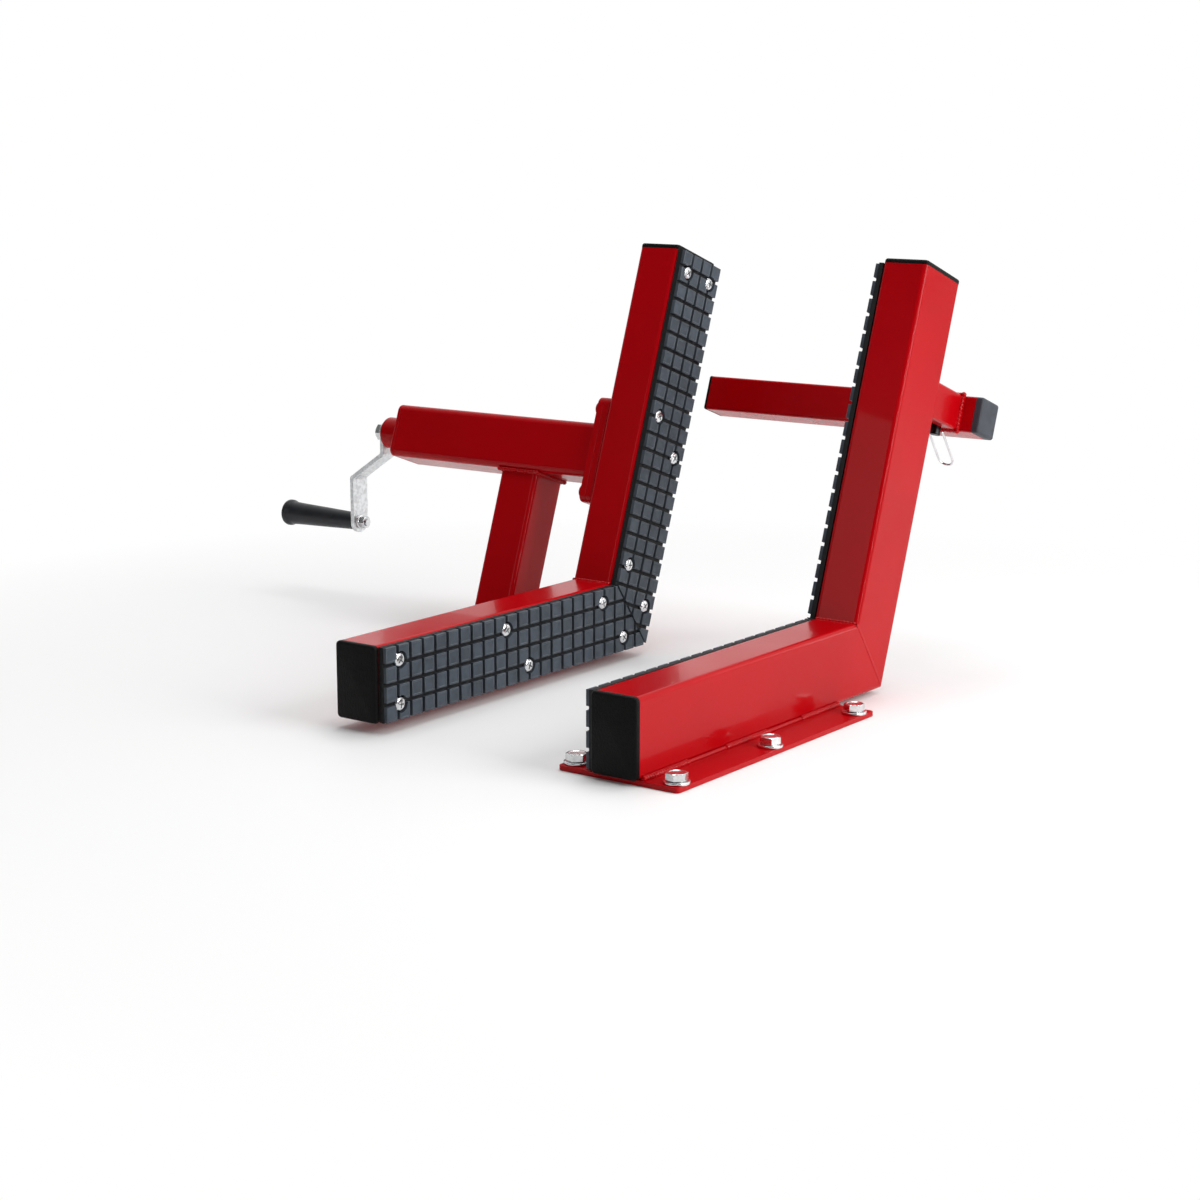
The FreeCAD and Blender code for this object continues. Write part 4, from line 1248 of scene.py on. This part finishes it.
def stop_weld():
    half = STOP_SIZE / 2 + 0.5 * MM
    corners, ways = square_ring(half, half, 2.2 * MM, 0.4)
    ring = weld_ring("stop_bead", corners, ways, 6.5 * MM, 1.9 * MM)
    place = tube_axes("fixed", True) @ Matrix.Translation((0, STOP_FRONT, STOP_UP))
    settle(ring, place @ Matrix.Rotation(math.pi / 2, 4, "X"))
    finish(ring, "wheel_stop", red_paint(), ["stop_weld"])


def elbow_welds(jaw):
    """Beads of the mitre: low and ground on the side, fuller in the inner corner."""
    away = -PAD_SIDE[jaw]
    face = away * TUBE_WIDTH / 2
    half = TUBE_WIDTH / 2 - 4 * MM
    slope = -MITRE / TUBE_DEPTH
    inner = 2 * MM
    outer = TUBE_DEPTH - 7 * MM
    start = (face, inner, inner * slope)
    end = (face, outer, outer * slope)
    side = weld_run(f"{jaw}_side", start, end, (away, 0, 0), 4 * MM, 0.35 * MM)
    corner = weld_run(
        f"{jaw}_inner", (-half, 0.2 * MM, 0.2 * MM), (half, 0.2 * MM, 0.2 * MM), (0, -1, 1), 4 * MM, 1.3 * MM
    )
    piece = join([side, corner], f"{jaw}_elbow_bead")
    settle(piece, tube_axes(jaw, True))
    finish(piece, JAW_BODY[jaw], red_paint())


def welds():
    base_weld()
    post_welds()
    stop_weld()
    for jaw in JAW_BODY:
        elbow_welds(jaw)


# Crank and grip


def on_screw_axis(x):
    """Place whose +Z points along +X, on the lead screw's axis at x."""
    middle = node_middle("lead_screw")
    return Matrix.Translation((x, middle.y, middle.z)) @ Matrix.Rotation(math.pi / 2, 4, "Y")


def on_handle_axis(x):
    middle = node_middle("handle_grip")
    return Matrix.Translation((x, middle.y, middle.z)) @ Matrix.Rotation(math.pi / 2, 4, "Y")


def crank_bar():
    bar = ease(copy_of_node("crank_arm", "crank_bar"), sizes().bar_edge)
    finish(bar, "crank", rolled_zinc(), ["crank_arm"])


def fitted_nut(name, node, flats, bore, place):
    low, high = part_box(node)
    thick = high.x - low.x
    nut = hex_piece(name, flats, 0, thick, bore, True)
    ease(nut, sizes().nut_edge, 2, 30)
    settle(nut, place(low.x))
    finish(nut, "crank", bright_zinc(), [node])


def fitted_washer(name, node, outer, inner, place):
    low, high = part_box(node)
    ring = washer(name, outer, inner, high.x - low.x)
    settle(ring, place(low.x))
    finish(ring, "crank", bright_zinc(), [node])


def crank_fasteners():
    fitted_nut("screw_nut", "crank_nut", 18 * MM, 6.15 * MM, on_screw_axis)
    fitted_washer("screw_washer", "crank_washer", 12 * MM, 6.2 * MM, on_screw_axis)
    fitted_nut("grip_nut", "handle_nut", 13 * MM, 4.15 * MM, on_handle_axis)
    fitted_washer("grip_washer", "handle_washer", 8.5 * MM, 4.2 * MM, on_handle_axis)
    dress_node("lead_screw", turned_steel())
    dress_node("drive_nut", turned_steel())
    dress_node("handle_bolt_shaft", bright_zinc())


def grip():
    low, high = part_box("handle_grip")
    end = low.x
    length = high.x - end
    outline = [
        (5.1 * MM, length),
        (9.2 * MM, length),
        (10 * MM, length - 0.8 * MM),
        (10.4 * MM, length - 12 * MM),
        (11.6 * MM, length - 45 * MM),
        (12.7 * MM, 30 * MM),
        (13.4 * MM, 12 * MM),
        (14.3 * MM, 8.5 * MM),
        (15.2 * MM, 6.5 * MM),
        (15.5 * MM, 5 * MM),
        (15.5 * MM, 2.4 * MM),
        (15 * MM, 1 * MM),
        (14 * MM, 0.2 * MM),
        (12.4 * MM, 0),
        (11.4 * MM, 0.4 * MM),
        (9.2 * MM, 1.4 * MM),
        (9 * MM, 9 * MM),
        (5.1 * MM, 9 * MM),
    ]
    piece = lathe("crank_grip", outline, 56)
    smooth(piece, 40)
    settle(piece, on_handle_axis(end))
    finish(piece, "grip", grip_plastic(), ["handle_grip"])


def pin_and_clip():
    pin = ease(copy_of_node("hitch_pin_shaft", "hitch_pin"), 0.4 * MM, 2, 40)
    finish(pin, "hitch_pin", black_oxide(), ["hitch_pin_shaft"])
    dress_node("pin_clip", polished_wire())


# Stage


def aim(thing, spot):
    way = Vector(spot) - thing.location
    thing.rotation_euler = way.to_track_quat("-Z", "Y").to_euler()


def softbox(name, place, spot, wide, high, power):
    clear_selection()
    bpy.ops.object.light_add(type="AREA", location=place)
    light = bpy.context.object
    light.name = name
    light.data.shape = "RECTANGLE"
    light.data.size = wide
    light.data.size_y = high
    light.data.energy = power
    aim(light, spot)


def studio_world():
    """White behind the object, and a soft room that is bright behind and above and dim in front."""
    world = bpy.data.worlds.new("studio")
    bpy.context.scene.world = world
    world.use_nodes = True
    tree = world.node_tree
    tree.nodes.clear()
    end = tree.nodes.new("ShaderNodeOutputWorld")
    room = tree.nodes.new("ShaderNodeBackground")
    seen = tree.nodes.new("ShaderNodeBackground")
    mix = tree.nodes.new("ShaderNodeMixShader")
    path = tree.nodes.new("ShaderNodeLightPath")
    place = tree.nodes.new("ShaderNodeTexCoord")
    split = tree.nodes.new("ShaderNodeSeparateXYZ")
    tree.links.new(place.outputs["Generated"], split.inputs[0])
    light = map_in(tree, split.outputs["Y"], -0.5, 0.7, 0.08, 0.9)
    tree.links.new(light, room.inputs["Strength"])
    straight = larger(tree, path.outputs["Is Camera Ray"], path.outputs["Is Transmission Ray"])
    glossy = map_in(tree, split.outputs["Y"], -0.6, 0.4, 0.06, 1.0)
    tree.links.new(larger(tree, straight, glossy), seen.inputs["Strength"])
    tree.links.new(larger(tree, straight, path.outputs["Is Glossy Ray"]), mix.inputs[0])
    tree.links.new(room.outputs[0], mix.inputs[1])
    tree.links.new(seen.outputs[0], mix.inputs[2])
    tree.links.new(mix.outputs[0], end.inputs[0])
    for background in (room, seen):
        background.inputs["Color"].default_value = (1, 1, 1, 1)


def larger(tree, first, second):
    node = tree.nodes.new("ShaderNodeMath")
    node.operation = "MAXIMUM"
    tree.links.new(first, node.inputs[0])
    tree.links.new(second, node.inputs[1])
    return node.outputs[0]


def floor_material():
    """Pale floor with the object's shadow, fading to the white background away from it."""
    material, shader = new_finish("studio_floor", roughness=0.6)
    tree = material.node_tree
    place = tree.nodes.new("ShaderNodeTexCoord")
    distance = tree.nodes.new("ShaderNodeVectorMath")
    distance.operation = "LENGTH"
    tree.links.new(place.outputs["Object"], distance.inputs[0])
    shader.inputs["Base Color"].default_value = (*finishes().floor, 1)
    fade = map_in(tree, distance.outputs["Value"], 0.35, 1.05, 0.0, 1.0)
    path = tree.nodes.new("ShaderNodeLightPath")
    both = tree.nodes.new("ShaderNodeMath")
    both.operation = "MULTIPLY"
    tree.links.new(fade, both.inputs[0])
    tree.links.new(path.outputs["Is Camera Ray"], both.inputs[1])
    white = tree.nodes.new("ShaderNodeEmission")
    mix = tree.nodes.new("ShaderNodeMixShader")
    tree.links.new(both.outputs[0], mix.inputs[0])
    tree.links.new(shader.outputs[0], mix.inputs[1])
    tree.links.new(white.outputs[0], mix.inputs[2])
    tree.links.new(mix.outputs[0], tree.nodes["Material Output"].inputs["Surface"])
    return material


def lay_floor():
    clear_selection()
    bpy.ops.mesh.primitive_circle_add(vertices=96, radius=14, fill_type="NGON", location=(-0.2, 0.1, 0))
    floor = bpy.context.object
    floor.name = "studio_floor"
    floor.data.materials.append(floor_material())


def place_camera():
    clear_selection()
    bpy.ops.object.camera_add(location=(1.1876, -1.8049, 0.5815))
    camera = bpy.context.object
    camera.name = "photo_camera"
    turn, fall = 0.634, 0.204
    way = Vector((-math.sin(turn) * math.cos(fall), math.cos(turn) * math.cos(fall), -math.sin(fall)))
    camera.rotation_euler = way.to_track_quat("-Z", "Y").to_euler()
    camera.data.sensor_width = 36
    camera.data.lens = 72
    bpy.context.scene.camera = camera


# Operators


class VISE_OT_painted_steel(bpy.types.Operator):
    """Round the painted steel's edges and give it its red powder coat"""

    bl_idname = "vise.painted_steel"
    bl_label = "Painted steel"

    def execute(self, context):
        painted_steel()
        return {"FINISHED"}


class VISE_OT_tread_pads(bpy.types.Operator):
    """Model the rubber tread pads of both jaws"""

    bl_idname = "vise.tread_pads"
    bl_label = "Tread pads"

    def execute(self, context):
        for jaw in JAW_BODY:
            tread_pad(jaw, "lower")
            tread_pad(jaw, "upright")
        return {"FINISHED"}


class VISE_OT_pad_screws(bpy.types.Operator):
    """Model the pan-head screws that hold the pads"""

    bl_idname = "vise.pad_screws"
    bl_label = "Pad screws"

    def execute(self, context):
        for jaw in JAW_BODY:
            pad_screws(jaw, "lower")
            pad_screws(jaw, "upright")
        return {"FINISHED"}


class VISE_OT_bolts(bpy.types.Operator):
    """Model the deck bolts, their washers and the plate bolts"""

    bl_idname = "vise.bolts"
    bl_label = "Bolts"

    def execute(self, context):
        deck_bolts()
        flange_bolts()
        return {"FINISHED"}


class VISE_OT_caps(bpy.types.Operator):
    """Model the end caps of the jaws and of the wheel stop"""

    bl_idname = "vise.caps"
    bl_label = "End caps"

    def execute(self, context):
        for jaw in JAW_BODY:
            jaw_caps(jaw)
        stop_caps()
        return {"FINISHED"}


class VISE_OT_welds(bpy.types.Operator):
    """Lay the rippled weld beads"""

    bl_idname = "vise.welds"
    bl_label = "Welds"

    def execute(self, context):
        welds()
        return {"FINISHED"}


class VISE_OT_crank(bpy.types.Operator):
    """Finish the crank bar, its nuts and washers and the grip"""

    bl_idname = "vise.crank"
    bl_label = "Crank and grip"

    def execute(self, context):
        crank_bar()
        crank_fasteners()
        grip()
        return {"FINISHED"}


class VISE_OT_pin(bpy.types.Operator):
    """Finish the wheel stop's hitch pin and its wire clip"""

    bl_idname = "vise.pin"
    bl_label = "Pin and clip"

    def execute(self, context):
        pin_and_clip()
        return {"FINISHED"}


class VISE_OT_stage(bpy.types.Operator):
    """Set up the floor, the lights and the camera"""

    bl_idname = "vise.stage"
    bl_label = "Stage"

    def execute(self, context):
        studio_world()
        lay_floor()
        softbox("right_softbox", (2.3, 0.5, 1.5), (-0.1, 0.1, 0.2), 1.4, 1.8, 48)
        softbox("top_softbox", (-0.2, 0.4, 2.3), (-0.2, 0.1, 0.1), 1.6, 1.6, 26)
        softbox("front_softbox", (-1.2, -2.2, 1.1), (-0.2, 0.1, 0.2), 1.0, 1.0, 4)
        softbox("edge_strip", (1.15, -0.2, 0.42), (0.0, 0.1, 0.3), 0.06, 0.8, 3.2)
        softbox("face_strip", (0.85, 1.45, 0.4), (0.0, 0.2, 0.2), 0.1, 0.8, 0.9)
        place_camera()
        return {"FINISHED"}


OPERATORS = [
    VISE_OT_painted_steel,
    VISE_OT_tread_pads,
    VISE_OT_pad_screws,
    VISE_OT_bolts,
    VISE_OT_caps,
    VISE_OT_welds,
    VISE_OT_crank,
    VISE_OT_pin,
    VISE_OT_stage,
]


class VISE_PT_panel(bpy.types.Panel):
    """Sizes, finishes and build steps of the wheel vise"""

    bl_idname = "VISE_PT_panel"
    bl_label = "Wheel vise"
    bl_space_type = "VIEW_3D"
    bl_region_type = "UI"
    bl_category = "Vise"

    def draw(self, context):
        layout = self.layout
        for group in (context.scene.vise_sizes, context.scene.vise_finishes):
            column = layout.column(align=True)
            for name in group.bl_rna.properties.keys():
                if name not in ("rna_type", "name"):
                    column.prop(group, name)
        for operator in OPERATORS:
            layout.operator(operator.bl_idname)


CLASSES = [ViseSizes, ViseFinishes, *OPERATORS, VISE_PT_panel]


def register():
    for item in CLASSES:
        bpy.utils.register_class(item)
    bpy.types.Scene.vise_sizes = bpy.props.PointerProperty(type=ViseSizes)
    bpy.types.Scene.vise_finishes = bpy.props.PointerProperty(type=ViseFinishes)


def unregister():
    del bpy.types.Scene.vise_finishes
    del bpy.types.Scene.vise_sizes
    for item in reversed(CLASSES):
        bpy.utils.unregister_class(item)


def main():
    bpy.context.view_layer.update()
    register()
    bpy.context.scene.view_settings.view_transform = "Standard"
    bpy.ops.vise.painted_steel()
    bpy.ops.vise.tread_pads()
    bpy.ops.vise.pad_screws()
    bpy.ops.vise.bolts()
    bpy.ops.vise.caps()
    bpy.ops.vise.welds()
    bpy.ops.vise.crank()
    bpy.ops.vise.pin()
    bpy.ops.vise.stage()


if __name__ == "__main__":
    main()
